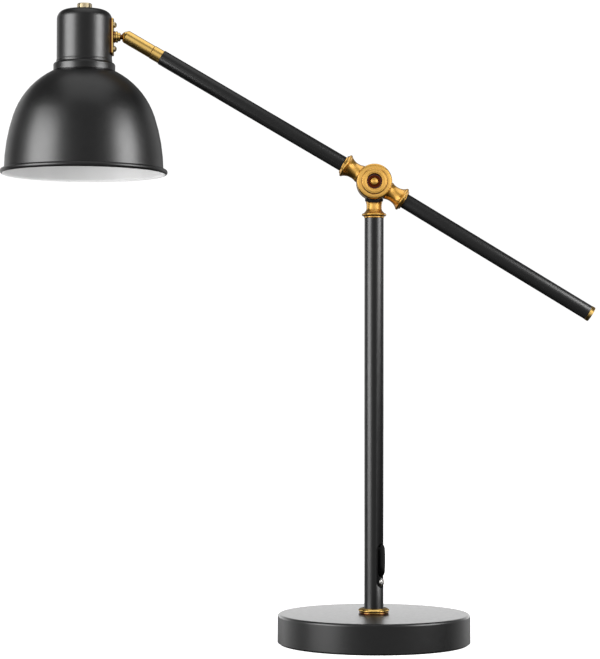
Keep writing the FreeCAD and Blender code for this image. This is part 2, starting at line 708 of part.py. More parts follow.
def pole_collar():
    """Turned collar: a lip, a bead, a long cove and a flared top that is hollowed to the hub's round."""
    floor = POLE_TOP
    lip = floor + COLLAR_LIP_HEIGHT
    bead_edge = COLLAR_LIP_RADIUS + COLLAR_BEAD_EDGE
    bead_sag = COLLAR_BEAD_RISE - COLLAR_BEAD_EDGE
    bead_top = lip + COLLAR_BEAD_HEIGHT
    waist = floor + COLLAR_WAIST_HEIGHT
    top = floor + COLLAR_HEIGHT
    bore = TONGUE_STEM_RADIUS
    body = turned(
        (bore, floor),
        (COLLAR_LIP_RADIUS, floor),
        (COLLAR_LIP_RADIUS, lip),
        (bead_edge, lip + COLLAR_BEAD_STEP),
        (bead_edge, bead_top, -bead_sag),
        (COLLAR_LIP_RADIUS, bead_top),
        (COLLAR_WAIST_RADIUS, waist, COLLAR_COVE_SAG),
        (COLLAR_TOP_RADIUS, top, COLLAR_NECK_SAG),
        (bore, top),
    )
    return body.cut(saddle_cut(SADDLE_RADIUS))


def liner_top():
    """Height of the liner's ends, clear of the rear socket's bulge where the arm is at its upper stop."""
    drop = math.radians(REAR_ARM_DROP)
    clear = SOCKET_BULGE_RADIUS + SOCKET_STOP_GAP
    return HUB_HEIGHT - (clear + LINER_RADIUS * math.sin(drop)) / math.cos(drop)


def saddle_liner():
    """Black liner between collar and hub, with a window for the tongue."""
    low = POLE_TOP + COLLAR_WAIST_HEIGHT
    liner = cylinder(LINER_RADIUS, low, HUB_HEIGHT)
    liner = liner.common(saddle_cut(SADDLE_RADIUS)).cut(saddle_cut(HUB_RADIUS + SLIDING_GAP))
    middle = V(0, 0, (low + HUB_HEIGHT) / 2)
    window = block(TONGUE_NECK + 2 * FIT_GAP, TONGUE_THICKNESS + 2 * FIT_GAP, HUB_HEIGHT - low, middle)
    edge = cylinder(2 * LINER_RADIUS, low, liner_top())
    return liner.common(edge).cut(window)


def pivot_tongue():
    """Flat tongue with an eye for the hub bolt, on a stem screwed into the collar and the pole's plug."""
    half = TONGUE_THICKNESS / 2
    eye = crosswise(TONGUE_EYE_RADIUS, -half, half, HUB)
    neck = block(TONGUE_NECK, TONGUE_THICKNESS, SADDLE_RADIUS, HUB - UP * (SADDLE_RADIUS / 2))
    neck = neck.common(saddle_cut(SADDLE_RADIUS))
    stem = cylinder(TONGUE_STEM_RADIUS, POLE_TOP - TONGUE_STEM_LENGTH, HUB_HEIGHT - HUB_RADIUS)
    stem = stem.cut(saddle_cut(SADDLE_RADIUS))
    tongue = eye.fuse(neck).fuse(stem)
    return tongue.cut(crosswise(BOLT_DIAMETER / 2 + PIVOT_GAP, -POLE_DIAMETER, POLE_DIAMETER, HUB))


# --- hub ---
def recess_level():
    """Distance of the recess floors from the hub's middle plane."""
    return HUB_DEPTH / 2 + FACE_RING_RISE - RECESS_DEPTH


def hub_face_profile():
    """Outline of the hub barrel about Z: both faces alike, each with a raised ring round a recess."""
    half = HUB_DEPTH / 2
    ring = half + FACE_RING_RISE
    floor = recess_level()
    bolt = BOLT_DIAMETER / 2 + FIT_GAP
    rim = half - HUB_EDGE_SAG
    step = FACE_EDGE
    return (
        (bolt, floor),
        (RECESS_RADIUS, floor),
        (RECESS_RADIUS, ring - step),
        (RECESS_RADIUS + step, ring, FACE_EDGE_SAG),
        (FACE_RING_RADIUS - step, ring, -FACE_RING_CROWN),
        (FACE_RING_RADIUS, half, -FACE_EDGE_SAG),
        (HUB_RADIUS - step, rim + step, -FACE_CROWN),
        (HUB_RADIUS, rim, -FACE_EDGE_SAG),
    )


def hub_barrel():
    """Barrel turned from the face outline and its mirror image below."""
    face = hub_face_profile()
    lower = []
    for index in reversed(range(len(face))):
        sag = face[index + 1][2:] if index + 1 < len(face) else ()
        lower.append((face[index][0], -face[index][1]) + sag)
    return along(turned(face[0], *face[1:], *lower), HUB, ACROSS)


def arm_socket():
    """Turned socket about Z, with a bulge by the hub, a waist and a bead where the tube enters."""
    bead_low = SOCKET_BEAD_AT - SOCKET_BEAD_WIDTH / 2
    bead_high = SOCKET_BEAD_AT + SOCKET_BEAD_WIDTH / 2
    bead_edge = TUBE_RADIUS + SOCKET_BEAD_RISE - SOCKET_BEAD_EDGE
    return turned(
        (0, SOCKET_ROOT),
        (SOCKET_BULGE_RADIUS - SOCKET_ROOT_INSET, SOCKET_ROOT),
        (SOCKET_BULGE_RADIUS, SOCKET_BULGE_AT - SOCKET_BULGE_LENGTH),
        (SOCKET_BULGE_RADIUS, SOCKET_BULGE_AT, -SOCKET_SOFT_SAG),
        (TUBE_RADIUS + SOCKET_WAIST_RISE, SOCKET_WAIST_AT, SOCKET_SOFT_SAG),
        (bead_edge, bead_low, SOCKET_COVE_SAG),
        (bead_edge, bead_high, -SOCKET_BEAD_SAG),
        (TUBE_RADIUS + SOCKET_END_RISE, SOCKET_END, -SOCKET_SOFT_SAG),
        (0, SOCKET_END),
    )


def tongue_room():
    """Space that the tongue needs inside the hub over the arm's whole tilt."""
    half = TONGUE_THICKNESS / 2 + DISC_GAP + DISC_THICKNESS
    eye = crosswise(TONGUE_EYE_RADIUS + 2 * SLIDING_GAP, -half, half, HUB)
    reach = HUB_RADIUS + 2 * CUT_OVER
    width = TONGUE_NECK + 4 * SLIDING_GAP
    room = eye
    for tilt in (ARM_LOWEST, ARM_HIGHEST):
        neck = block(width, 2 * half, reach, HUB - UP * (reach / 2))
        neck.rotate(HUB, ACROSS, -tilt)
        room = room.fuse(neck)
    low_angle = math.radians(-90 + ARM_LOWEST)
    high_angle = math.radians(-90 + ARM_HIGHEST)
    middle_angle = (low_angle + high_angle) / 2
    rim = [HUB + V(math.cos(a), 0, math.sin(a)) * reach for a in (low_angle, middle_angle, high_angle)]
    sector = Part.Wire([
        Part.LineSegment(HUB, rim[0]).toShape(),
        Part.Arc(rim[0], rim[1], rim[2]).toShape(),
        Part.LineSegment(rim[2], HUB).toShape(),
    ])
    wedge = Part.Face(sector).extrude(ACROSS * (2 * half))
    wedge.translate(ACROSS * -half)
    return room.fuse(wedge)


def hub_body():
    """Barrel and both sockets in one piece, bored for tubes, leads and bolt, with the tongue's slot."""
    body = hub_barrel()
    for way in (FRONT, REAR):
        body = body.fuse(along(arm_socket(), HUB, way))
    for side in (-1, 1):
        low, high = sorted((side * recess_level(), side * HUB_DEPTH))
        body = body.cut(crosswise(RECESS_RADIUS, low, high, HUB))
    body = body.cut(crosswise(BOLT_DIAMETER / 2 + FIT_GAP, -HUB_DEPTH, HUB_DEPTH, HUB))
    for way in (FRONT, REAR):
        body = body.cut(along(cylinder(TUBE_RADIUS + FIT_GAP, HUB_RADIUS, SOCKET_END + CUT_OVER), HUB, way))
        body = body.cut(along(cylinder(LEAD_BORE / 2, 0, HUB_RADIUS + CUT_OVER), HUB, way))
    return body.cut(tongue_room())


def hub_bolt():
    """Bolt with a domed head in the front recess and its thread in the nut at the back."""
    seat = recess_level() + HUB_WASHER_THICKNESS
    tail = seat + HUB_NUT_THICKNESS + HUB_BOLT_TAIL
    shank = turned(
        (0, -tail),
        (BOLT_DIAMETER / 2 - HUB_BOLT_CHAMFER, -tail),
        (BOLT_DIAMETER / 2, HUB_BOLT_CHAMFER - tail),
        (BOLT_DIAMETER / 2, seat),
        (0, seat),
    )
    crown_rise = BOLT_HEAD_HEIGHT - HUB_BOLT_RIM
    crown_radius = (BOLT_HEAD_RADIUS ** 2 + crown_rise ** 2) / (2 * crown_rise)
    crown = Part.makeSphere(crown_radius, V(0, 0, seat + BOLT_HEAD_HEIGHT - crown_radius))
    head = cylinder(BOLT_HEAD_RADIUS, seat, seat + BOLT_HEAD_HEIGHT).common(crown)
    return along(shank.fuse(head), HUB, -ACROSS)


def hub_washers():
    """One washer under the bolt's head and one under its nut."""
    pair = []
    for way in (-ACROSS, ACROSS):
        low = recess_level()
        ring = cylinder(HUB_WASHER_RADIUS, low, low + HUB_WASHER_THICKNESS, BOLT_DIAMETER / 2 + FIT_GAP)
        pair.append(along(ring, HUB, way))
    return Part.makeCompound(pair)


def hub_nut():
    """Nut in the rear recess."""
    low = recess_level() + HUB_WASHER_THICKNESS
    return along(hexagon(HUB_NUT_FLATS, low, low + HUB_NUT_THICKNESS, BOLT_DIAMETER / 2), HUB, ACROSS)


def friction_discs():
    """Discs on the bolt between the tongue and the hub's slot walls."""
    pair = []
    low = TONGUE_THICKNESS / 2 + DISC_GAP
    for way in (-ACROSS, ACROSS):
        disc = cylinder(DISC_RADIUS, low, low + DISC_THICKNESS, BOLT_DIAMETER / 2 + FIT_GAP)
        pair.append(along(disc, HUB, way))
    return Part.makeCompound(pair)


# --- arm ---
def arm_tube(end, way):
    """Tube from inside a socket to its end."""
    return along(cylinder(TUBE_RADIUS, HUB_RADIUS, end, TUBE_BORE), HUB, way)


def counterweight_bar():
    """Iron bar inside the rear tube, up to the end cap's spigot."""
    high = REAR_TUBE_END - END_CAP_SPIGOT
    return along(cylinder(TUBE_BORE - FIT_GAP, WEIGHT_BAR_START, high), HUB, REAR)


def rear_end_cap():
    """Brass cap on the rear tube's end."""
    radius = TUBE_RADIUS + END_CAP_LIP
    top = REAR_TUBE_END + END_CAP_LENGTH
    cap = turned(
        (0, REAR_TUBE_END - END_CAP_SPIGOT),
        (TUBE_BORE - FIT_GAP, REAR_TUBE_END - END_CAP_SPIGOT),
        (TUBE_BORE - FIT_GAP, REAR_TUBE_END),
        (radius, REAR_TUBE_END),
        (radius, top - END_CAP_CHAMFER),
        (radius - END_CAP_CHAMFER, top),
        (0, top),
    )
    return along(cap, HUB, REAR)


# --- swivel ---
SEAT_FRONT = BALL_REACH - SEAT_BACKSET
SEAT_BACK = SEAT_FRONT - SEAT_LENGTH


def swivel_adapter():
    """Adapter from the arm tube to the ball sleeve, with a spigot in each."""
    radius = SLEEVE_RADIUS + ADAPTER_STEP
    body = turned(
        (LEAD_HOLE, FRONT_TUBE_END - ADAPTER_TAIL),
        (TUBE_BORE - FIT_GAP, FRONT_TUBE_END - ADAPTER_TAIL),
        (TUBE_BORE - FIT_GAP, FRONT_TUBE_END),
        (radius, FRONT_TUBE_END),
        (radius, SLEEVE_LOW - SLEEVE_CHAMFER),
        (radius - SLEEVE_CHAMFER, SLEEVE_LOW),
        (ADAPTER_SPIGOT_RADIUS, SLEEVE_LOW),
        (ADAPTER_SPIGOT_RADIUS, SPIGOT_END),
        (LEAD_HOLE, SPIGOT_END),
    )
    return along(body, HUB, FRONT)


def ball_sleeve():
    """Sleeve whose mouth closes in over the ball."""
    radius = SLEEVE_RADIUS
    mouth = math.sqrt(BALL_CAVITY ** 2 - LIP_AHEAD ** 2)
    top = BALL_REACH + LIP_AHEAD
    half_chord = math.hypot(BALL_CAVITY - mouth, LIP_AHEAD) / 2
    ball_sag = BALL_CAVITY - math.sqrt(BALL_CAVITY ** 2 - half_chord ** 2)
    body = turned(
        (ADAPTER_SPIGOT_RADIUS, SLEEVE_LOW),
        (radius - SLEEVE_CHAMFER, SLEEVE_LOW),
        (radius, SLEEVE_LOW + SLEEVE_CHAMFER),
        (radius, BALL_REACH + SLEEVE_NOSE_AHEAD),
        (mouth + SLEEVE_MOUTH_WALL, top),
        (mouth, top),
        (BALL_CAVITY, BALL_REACH, -ball_sag),
        (BALL_CAVITY, SPIGOT_END),
        (ADAPTER_SPIGOT_RADIUS, SPIGOT_END),
    )
    return along(body, HUB, FRONT)


def ball_seat():
    """Dished ring that presses on the back of the ball and turns with it."""
    radius = BALL_CAVITY - SEAT_GAP
    ring = cylinder(radius, SEAT_BACK, SEAT_FRONT, LEAD_HOLE + SEAT_BORE_STEP)
    dish = Part.makeSphere(BALL_CAVITY, V(0, 0, BALL_REACH))
    return along(ring.cut(dish), HUB, FRONT)


def seat_springs():
    """Stack of coned disc springs between the seat and the adapter, set in turn base to base."""
    room = SEAT_BACK - SEAT_GAP - SPIGOT_END
    pitch = room / DISC_SPRING_COUNT
    inner = LEAD_HOLE + DISC_SPRING_BORE_STEP
    outer = BALL_CAVITY - SEAT_GAP
    rise = pitch - DISC_SPRING_THICKNESS
    discs = []
    for index in range(DISC_SPRING_COUNT):
        low = SPIGOT_END + index * pitch
        inner_low, outer_low = (low + rise, low) if index % 2 == 0 else (low, low + rise)
        disc = turned(
            (inner, inner_low),
            (outer, outer_low),
            (outer, outer_low + DISC_SPRING_THICKNESS),
            (inner, inner_low + DISC_SPRING_THICKNESS),
        )
        discs.append(along(disc, HUB, FRONT))
    return Part.makeCompound(discs)


# --- stud and bracket ---
PLATE_FACE = STUD_BOSS_END
CAP_FACE = STUD_BOSS_END + BRACKET_THICKNESS
INNER_FACE = CAP_FACE + SHADE_WALL


def ball_stud():
    """Ball, neck, stem and grooved boss, with a threaded shank through the bracket and the cap."""
    groove_middle = (STUD_STEM_END + STUD_BOSS_END) / 2
    groove_low = groove_middle - STUD_GROOVE_WIDTH / 2
    groove_high = groove_middle + STUD_GROOVE_WIDTH / 2
    groove_radius = STUD_BOSS_RADIUS - STUD_GROOVE_DEPTH
    tail = INNER_FACE + STUD_NUT_THICKNESS + STUD_TAIL
    stem = turned(
        (0, 0),
        (STUD_NECK_RADIUS, 0),
        (STUD_NECK_RADIUS, STUD_NECK_END - STUD_NECK_CHAMFER),
        (STUD_STEM_RADIUS - STUD_NECK_CHAMFER, STUD_NECK_END),
        (STUD_STEM_RADIUS, STUD_NECK_END + STUD_NECK_CHAMFER),
        (STUD_STEM_RADIUS, STUD_STEM_END),
        (STUD_BOSS_RADIUS - STUD_BOSS_EDGE, STUD_STEM_END),
        (STUD_BOSS_RADIUS - STUD_BOSS_EDGE, groove_low, -STUD_BOSS_SAG),
        (groove_radius, groove_low),
        (groove_radius, groove_high),
        (STUD_BOSS_RADIUS, groove_high),
        (STUD_BOSS_RADIUS, STUD_BOSS_END),
        (STUD_SHANK_RADIUS, STUD_BOSS_END),
        (STUD_SHANK_RADIUS, tail),
        (0, tail),
    )
    stud = stem.fuse(Part.makeSphere(BALL_RADIUS))
    stud = stud.cut(cylinder(LEAD_HOLE, -BALL_RADIUS - CUT_OVER, tail + CUT_OVER))
    return along(stud, BALL, STUD_WAY)


def bracket_plate():
    """Upright plate whose back is hollowed to the cap's round."""
    back = CAP_FACE + CAP_RADIUS - math.sqrt(CAP_RADIUS ** 2 - (BRACKET_WIDTH / 2) ** 2)
    middle = (PLATE_FACE + back) / 2
    plate = block(back - PLATE_FACE, BRACKET_WIDTH, BRACKET_HEIGHT, BALL + STUD_WAY * middle)
    across = [edge for edge in plate.Edges if edge.BoundBox.XLength > FIT_GAP]
    plate = plate.makeFillet(BRACKET_CORNER, across)
    plate = plate.cut(on_shade(cylinder(CAP_RADIUS, BALL.z - BRACKET_HEIGHT, BALL.z + BRACKET_HEIGHT)))
    plate = plate.cut(bracket_hole(STUD_SHANK_RADIUS, 0))
    for offset in (-BRACKET_SCREW_SPACING / 2, BRACKET_SCREW_SPACING / 2):
        plate = plate.cut(bracket_hole(BRACKET_SCREW_SHANK / 2 + FIT_GAP, offset))
    return plate


def bracket_hole(radius, offset):
    """Hole through the plate and the cap's wall, a distance above the ball."""
    return Part.makeCylinder(radius, INNER_FACE + CUT_OVER, BALL + UP * offset, STUD_WAY)


def bracket_screws():
    """Two cross-head screws through the plate and the cap's wall."""
    pair = []
    reach = INNER_FACE - PLATE_FACE + BRACKET_NUT_THICKNESS + BRACKET_SCREW_TAIL
    for offset in (-BRACKET_SCREW_SPACING / 2, BRACKET_SCREW_SPACING / 2):
        screw = pan_screw(BRACKET_SCREW_HEAD, BRACKET_SCREW_HEIGHT, BRACKET_SCREW_SHANK, reach)
        pair.append(along(screw, BALL + UP * offset + STUD_WAY * PLATE_FACE, -STUD_WAY))
    return Part.makeCompound(pair)


def nut_face(flats):
    """Where a nut meets the cap's curved inner wall, from the ball's centre."""
    corner = flats * HEX_CORNER
    inner = CAP_RADIUS - SHADE_WALL
    return INNER_FACE + inner - math.sqrt(inner ** 2 - corner ** 2)


def bracket_nuts():
    """Nuts of the bracket's screws, inside the cap."""
    pair = []
    low = nut_face(BRACKET_NUT_FLATS)
    for offset in (-BRACKET_SCREW_SPACING / 2, BRACKET_SCREW_SPACING / 2):
        nut = hexagon(BRACKET_NUT_FLATS, low, low + BRACKET_NUT_THICKNESS, BRACKET_SCREW_SHANK / 2)
        pair.append(along(nut, BALL + UP * offset, STUD_WAY))
    return Part.makeCompound(pair)


def stud_nut():
    """Nut of the ball stud, inside the cap."""
    low = nut_face(STUD_NUT_FLATS)
    return along(hexagon(STUD_NUT_FLATS, low, low + STUD_NUT_THICKNESS, STUD_SHANK_RADIUS), BALL, STUD_WAY)


# --- shade ---
def shade_cap():
    """Spun cap of the shade, with holes for the nipple, the stud and the bracket's screws."""
    inner = CAP_RADIUS - SHADE_WALL
    roof = CAP_TOP - SHADE_WALL
    small = CAP_CORNER - SHADE_WALL
    hole = NIPPLE_DIAMETER / 2 + FIT_GAP
    shell = turned(
        (CAP_RADIUS, CAP_BOTTOM),
        (CAP_RADIUS, CAP_TOP - CAP_CORNER),
        (CAP_RADIUS - CAP_CORNER, CAP_TOP, -quarter_sag(CAP_CORNER)),
        (hole, CAP_TOP),
        (hole, roof),
        (inner - small, roof),
        (inner, roof - small, quarter_sag(small)),
        (inner, CAP_BOTTOM),
    )
    shell = on_shade(shell)
    shell = shell.cut(bracket_hole(STUD_SHANK_RADIUS + FIT_GAP, 0))
    for offset in (-BRACKET_SCREW_SPACING / 2, BRACKET_SCREW_SPACING / 2):
        shell = shell.cut(bracket_hole(BRACKET_SCREW_SHANK / 2 + FIT_GAP, offset))
    return shell


def shade_ring():
    """Turned ring between cap and dome, with a rounded shoulder and a plain band."""
    low = NECK_HEIGHT
    high = CAP_BOTTOM
    foot = RING_RADIUS - RING_FOOT_INSET
    step = RING_SHOULDER - RING_STEP_INSET
    band_low = low + RING_FOOT_HEIGHT
    band_high = band_low + RING_BAND
    ring = turned(
        (RING_BORE, low),
        (foot, low),
        (foot, band_low - RING_FOOT_CHAMFER),
        (RING_RADIUS, band_low),
        (RING_RADIUS, band_high),
        (RING_SHOULDER, high - RING_SHOULDER_DROP, -RING_SHOULDER_SAG),
        (step, high - RING_STEP_HEIGHT),
        (step, high),
        (RING_BORE, high),
    )
    return on_shade(ring)


def dome_centres():
    """Bead height and the centres of the side and shoulder arcs, in radius and height."""
    sweep = math.radians(SIDE_SWEEP)
    side_r = RIM_RADIUS - SIDE_RADIUS
    shoulder_r = side_r + (SIDE_RADIUS - SHOULDER_RADIUS) * math.cos(sweep)
    rise = math.sqrt(SHOULDER_RADIUS ** 2 - (NECK_RADIUS - shoulder_r) ** 2)
    shoulder_z = NECK_HEIGHT - rise
    side_z = shoulder_z - (SIDE_RADIUS - SHOULDER_RADIUS) * math.sin(sweep)
    return (side_r, side_z), (shoulder_r, shoulder_z)


def arc_point(centre, radius, angle):
    """Point of an arc in radius and height."""
    return (centre[0] + radius * math.cos(angle), centre[1] + radius * math.sin(angle))


def arc_sag(radius, sweep):
    """Sag of an arc."""
    return radius * (1 - math.cos(sweep / 2))


def shade_dome():
    """Spun dome: a long side arc, a tangent shoulder arc, a flat neck and an outward rolled rim."""
    side, shoulder = dome_centres()
    sweep = math.radians(SIDE_SWEEP)
    outer_side = SIDE_RADIUS
    inner_side = SIDE_RADIUS - SHADE_WALL
    outer_shoulder = SHOULDER_RADIUS
    inner_shoulder = SHOULDER_RADIUS - SHADE_WALL
    neck_angle = math.acos((NECK_RADIUS - shoulder[0]) / outer_shoulder)
    floor = NECK_HEIGHT - SHADE_WALL
    inner_angle = math.asin((floor - shoulder[1]) / inner_shoulder)
    inner_neck = arc_point(shoulder, inner_shoulder, inner_angle)
    joint_out = arc_point(side, outer_side, sweep)
    joint_in = arc_point(side, inner_side, sweep)
    bead_z = side[1]
    bead_r = RIM_RADIUS - SHADE_WALL + RIM_BEAD_RADIUS
    inner_rim = (RIM_RADIUS - SHADE_WALL, bead_z)
    meet_r = RIM_RADIUS
    meet_z = bead_z + math.sqrt(RIM_BEAD_RADIUS ** 2 - (bead_r - meet_r) ** 2)
    meet_angle = math.asin((meet_z - bead_z) / outer_side)
    meet = arc_point(side, outer_side, meet_angle)
    chord = math.hypot(meet[0] - inner_rim[0], meet[1] - inner_rim[1])
    bead_sag = RIM_BEAD_RADIUS + math.sqrt(RIM_BEAD_RADIUS ** 2 - (chord / 2) ** 2)
    dome = turned(
        inner_rim,
        (meet[0], meet[1], -bead_sag),
        joint_out + (-arc_sag(outer_side, sweep - meet_angle),),
        (NECK_RADIUS, NECK_HEIGHT, -arc_sag(outer_shoulder, neck_angle - sweep)),
        (RING_BORE, NECK_HEIGHT),
        (RING_BORE, floor),
        inner_neck,
        joint_in + (arc_sag(inner_shoulder, inner_angle - sweep),),
        inner_rim + (arc_sag(inner_side, sweep),),
    )
    return on_shade(dome)


def top_knob():
    """Brass knob screwed onto the nipple."""
    low = CAP_TOP
    high = CAP_TOP + KNOB_HEIGHT
    bore = NIPPLE_DIAMETER / 2
    knob = turned(
        (bore, low),
        (KNOB_RADIUS, low),
        (KNOB_RADIUS, high - KNOB_CHAMFER),
        (KNOB_RADIUS - KNOB_CHAMFER, high),
        (0, high),
        (0, low + NIPPLE_IN_KNOB),
        (bore, low + NIPPLE_IN_KNOB),
    )
    return on_shade(knob)


# --- lampholder and bulb ---
HOLDER_TOP = CAP_TOP - SHADE_WALL - HOLDER_TOP_DROP
HOLDER_JOINT = HOLDER_TOP - HOLDER_CAP_HEIGHT
SHELL_TOP = HOLDER_JOINT - HOLDER_FLOOR
BASE_TOP = SHELL_TOP - CONTACT_HEIGHT
GLASS_TOP = BASE_TOP - BULB_BASE_LENGTH


def nipple():
    """Threaded tube that carries the lampholder under the cap's roof."""
    high = CAP_TOP + NIPPLE_IN_KNOB
    return on_shade(cylinder(NIPPLE_DIAMETER / 2, high - NIPPLE_LENGTH, high, NIPPLE_BORE / 2))


def nipple_nut():
    """Nut under the cap's roof."""
    high = CAP_TOP - SHADE_WALL
    return on_shade(hexagon(NIPPLE_NUT_FLATS, high - NIPPLE_NUT_THICKNESS, high, NIPPLE_DIAMETER / 2))


def lampholder_cap():
    """Upper half of the lampholder, screwed onto the nipple."""
    bore = NIPPLE_DIAMETER / 2
    inner = HOLDER_CAP_RADIUS - HOLDER_WALL
    shoulder = HOLDER_SHOULDER
    cap = turned(
        (bore, HOLDER_TOP),
        (HOLDER_CAP_RADIUS - shoulder, HOLDER_TOP),
        (HOLDER_CAP_RADIUS, HOLDER_TOP - shoulder, quarter_sag(shoulder)),
        (HOLDER_CAP_RADIUS, HOLDER_JOINT),
        (inner, HOLDER_JOINT),
        (inner, HOLDER_TOP - shoulder),
        (inner - shoulder + HOLDER_WALL, HOLDER_TOP - HOLDER_WALL, -quarter_sag(shoulder - HOLDER_WALL)),
        (bore, HOLDER_TOP - HOLDER_WALL),
    )
    return on_shade(cap)


def lampholder_body():
    """Lower half of the lampholder, round the screw shell."""
    inner = SCREW_SHELL_RADIUS
    low = GLASS_TOP + SLIDING_GAP
    body = turned(
        (HOLDER_BODY_RADIUS, HOLDER_JOINT),
        (CONTACT_RADIUS, HOLDER_JOINT),
        (CONTACT_RADIUS, SHELL_TOP),
        (inner, SHELL_TOP),
        (inner, low),
        (HOLDER_BODY_RADIUS, low),
    )
    return on_shade(body)


def screw_shell():
    """Brass shell that the bulb screws into."""
    low = SHELL_TOP - SCREW_SHELL_LENGTH
    return on_shade(cylinder(SCREW_SHELL_RADIUS, low, SHELL_TOP, SCREW_SHELL_RADIUS - SCREW_SHELL_WALL))


def centre_contact():
    """Contact in the lampholder's floor, just above the bulb's tip."""
    return on_shade(cylinder(CONTACT_RADIUS, BASE_TOP + FIT_GAP, HOLDER_JOINT))


def bulb_base():
    """Metal base of the bulb with its contact tip."""
    low = GLASS_TOP
    tip = CONTACT_TIP_RADIUS
    tip_low = BASE_TOP - CONTACT_TIP_HEIGHT
    body = turned(
        (0, low),
        (BULB_BASE_RADIUS, low),
        (BULB_BASE_RADIUS, tip_low - BULB_BASE_TAPER_HEIGHT),
        (BULB_BASE_RADIUS - BULB_BASE_TAPER, tip_low),
        (tip, tip_low),
        (tip, BASE_TOP),
        (0, BASE_TOP),
    )
    return on_shade(body)


BULB_WIDEST = GLASS_TOP - BULB_LENGTH + BULB_RADIUS


def bulb_side(inset):
    """Points of the bulb's outline above its widest level, at an inset: neck, waist and side."""
    slope = math.radians(BULB_WAIST_SLOPE)
    neck = (BULB_NECK_RADIUS - inset, GLASS_TOP)
    waist = (BULB_RADIUS - BULB_WAIST_INSET - inset * math.cos(slope),
             BULB_WIDEST + BULB_WAIST_RISE - inset * math.sin(slope))
    side = (BULB_RADIUS - inset, BULB_WIDEST)
    return neck, waist, side


def half_ball(radius):
    """Lower half of a ball about the bulb's widest level."""
    return Part.makeSphere(radius, V(0, 0, BULB_WIDEST), UP, -90, 0, 360)


def bulb_glass():
    """Opal glass of the bulb."""
    neck, waist, side = bulb_side(0)
    neck_in, waist_in, side_in = bulb_side(BULB_WALL)
    upper = turned(
        neck,
        waist + (BULB_NECK_SAG,),
        side + (-BULB_SIDE_SAG,),
        side_in,
        waist_in + (BULB_SIDE_SAG,),
        neck_in + (-BULB_NECK_SAG,),
    )
    lower = half_ball(BULB_RADIUS).cut(half_ball(BULB_RADIUS - BULB_WALL))
    return on_shade(upper.fuse(lower))


PIECES = {
    "base_pad": base_pad,
    "base_plate": base_plate,
    "base_weight": base_weight,
    "base_cover": base_cover,
    "inlet_bushing": inlet_bushing,
    "clamp_rod": clamp_rod,
    "clamp_washer": clamp_washer,
    "clamp_nut": clamp_nut,
    "foot_ring": foot_ring,
    "pole_tube": pole_tube,
    "foot_plug": foot_plug,
    "head_plug": head_plug,
    "switch_housing": switch_housing,
    "switch_rocker": switch_rocker,
    "switch_screw": switch_screw,
    "switch_clamp_bar": switch_clamp_bar,
    "pole_collar": pole_collar,
    "saddle_liner": saddle_liner,
    "pivot_tongue": pivot_tongue,
    "hub_body": hub_body,
    "hub_bolt": hub_bolt,
    "hub_washers": hub_washers,
    "hub_nut": hub_nut,
    "friction_discs": friction_discs,
    "front_arm_tube": lambda: arm_tube(FRONT_TUBE_END, FRONT),
    "rear_arm_tube": lambda: arm_tube(REAR_TUBE_END, REAR),
    "counterweight_bar": counterweight_bar,
    "rear_end_cap": rear_end_cap,
    "swivel_adapter": swivel_adapter,
    "ball_sleeve": ball_sleeve,
    "ball_seat": ball_seat,
    "seat_springs": seat_springs,
    "ball_stud": ball_stud,
    "bracket_plate": bracket_plate,
    "bracket_screws": bracket_screws,
    "bracket_nuts": bracket_nuts,
    "stud_nut": stud_nut,
    "shade_cap": shade_cap,
    "shade_ring": shade_ring,
    "shade_dome": shade_dome,
    "top_knob": top_knob,
    "nipple": nipple,
    "nipple_nut": nipple_nut,
    "lampholder_cap": lampholder_cap,
    "lampholder_body": lampholder_body,
    "screw_shell": screw_shell,
    "centre_contact": centre_contact,
    "bulb_base": bulb_base,
    "bulb_glass": bulb_glass,
}

for name, make in PIECES.items():
    piece = make()
    piece.exportStep("parts/" + name + ".step")
    solids = piece.Solids
    sound = piece.isValid()
    print(name, "solids", len(solids), "volume", round(sum(s.Volume for s in solids), 1), "valid", sound)
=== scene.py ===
"""Looks of the counterweight balance desk lamp, built around the fixed frame of its solids.

Sizes are in millimetres, and every mesh is made in metres in the frame's own axes: +Z up, the front
faces -Y, the shade hangs at -X and the weighted end of the arm is at +X.
"""

import json
import logging
import math
from dataclasses import dataclass
from enum import Enum, IntEnum
from typing import NamedTuple

import bmesh
import bpy
from mathutils import Matrix, Vector
from mathutils.bvhtree import BVHTree


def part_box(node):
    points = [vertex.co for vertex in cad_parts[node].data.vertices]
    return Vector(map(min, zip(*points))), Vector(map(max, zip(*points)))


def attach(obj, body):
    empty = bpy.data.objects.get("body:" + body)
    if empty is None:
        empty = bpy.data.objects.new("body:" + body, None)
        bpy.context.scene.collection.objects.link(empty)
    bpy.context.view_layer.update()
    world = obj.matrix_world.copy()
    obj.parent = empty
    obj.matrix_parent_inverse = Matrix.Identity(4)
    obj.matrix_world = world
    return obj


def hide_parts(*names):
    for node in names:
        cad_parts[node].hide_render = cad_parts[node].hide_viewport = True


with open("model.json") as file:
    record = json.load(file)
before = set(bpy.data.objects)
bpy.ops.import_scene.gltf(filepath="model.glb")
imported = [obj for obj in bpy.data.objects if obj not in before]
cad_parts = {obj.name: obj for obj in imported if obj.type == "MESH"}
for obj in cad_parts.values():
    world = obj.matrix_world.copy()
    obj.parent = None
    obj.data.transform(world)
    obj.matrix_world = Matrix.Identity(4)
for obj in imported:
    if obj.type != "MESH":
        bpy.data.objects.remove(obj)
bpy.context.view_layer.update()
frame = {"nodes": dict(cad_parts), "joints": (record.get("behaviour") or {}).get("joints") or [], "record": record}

LOG = logging.getLogger("desk_lamp")

Colour = tuple[float, float, float]
Point = tuple[float, float, float]
Ramp = tuple[float, float, float, float]    # a range of values, and the range that it becomes
Profile = tuple[tuple[float, ...], ...]     # steps of a turned outline, each with the fields of Step
Socket = bpy.types.NodeSocket
Mesh = bpy.types.Mesh
Material = bpy.types.Material

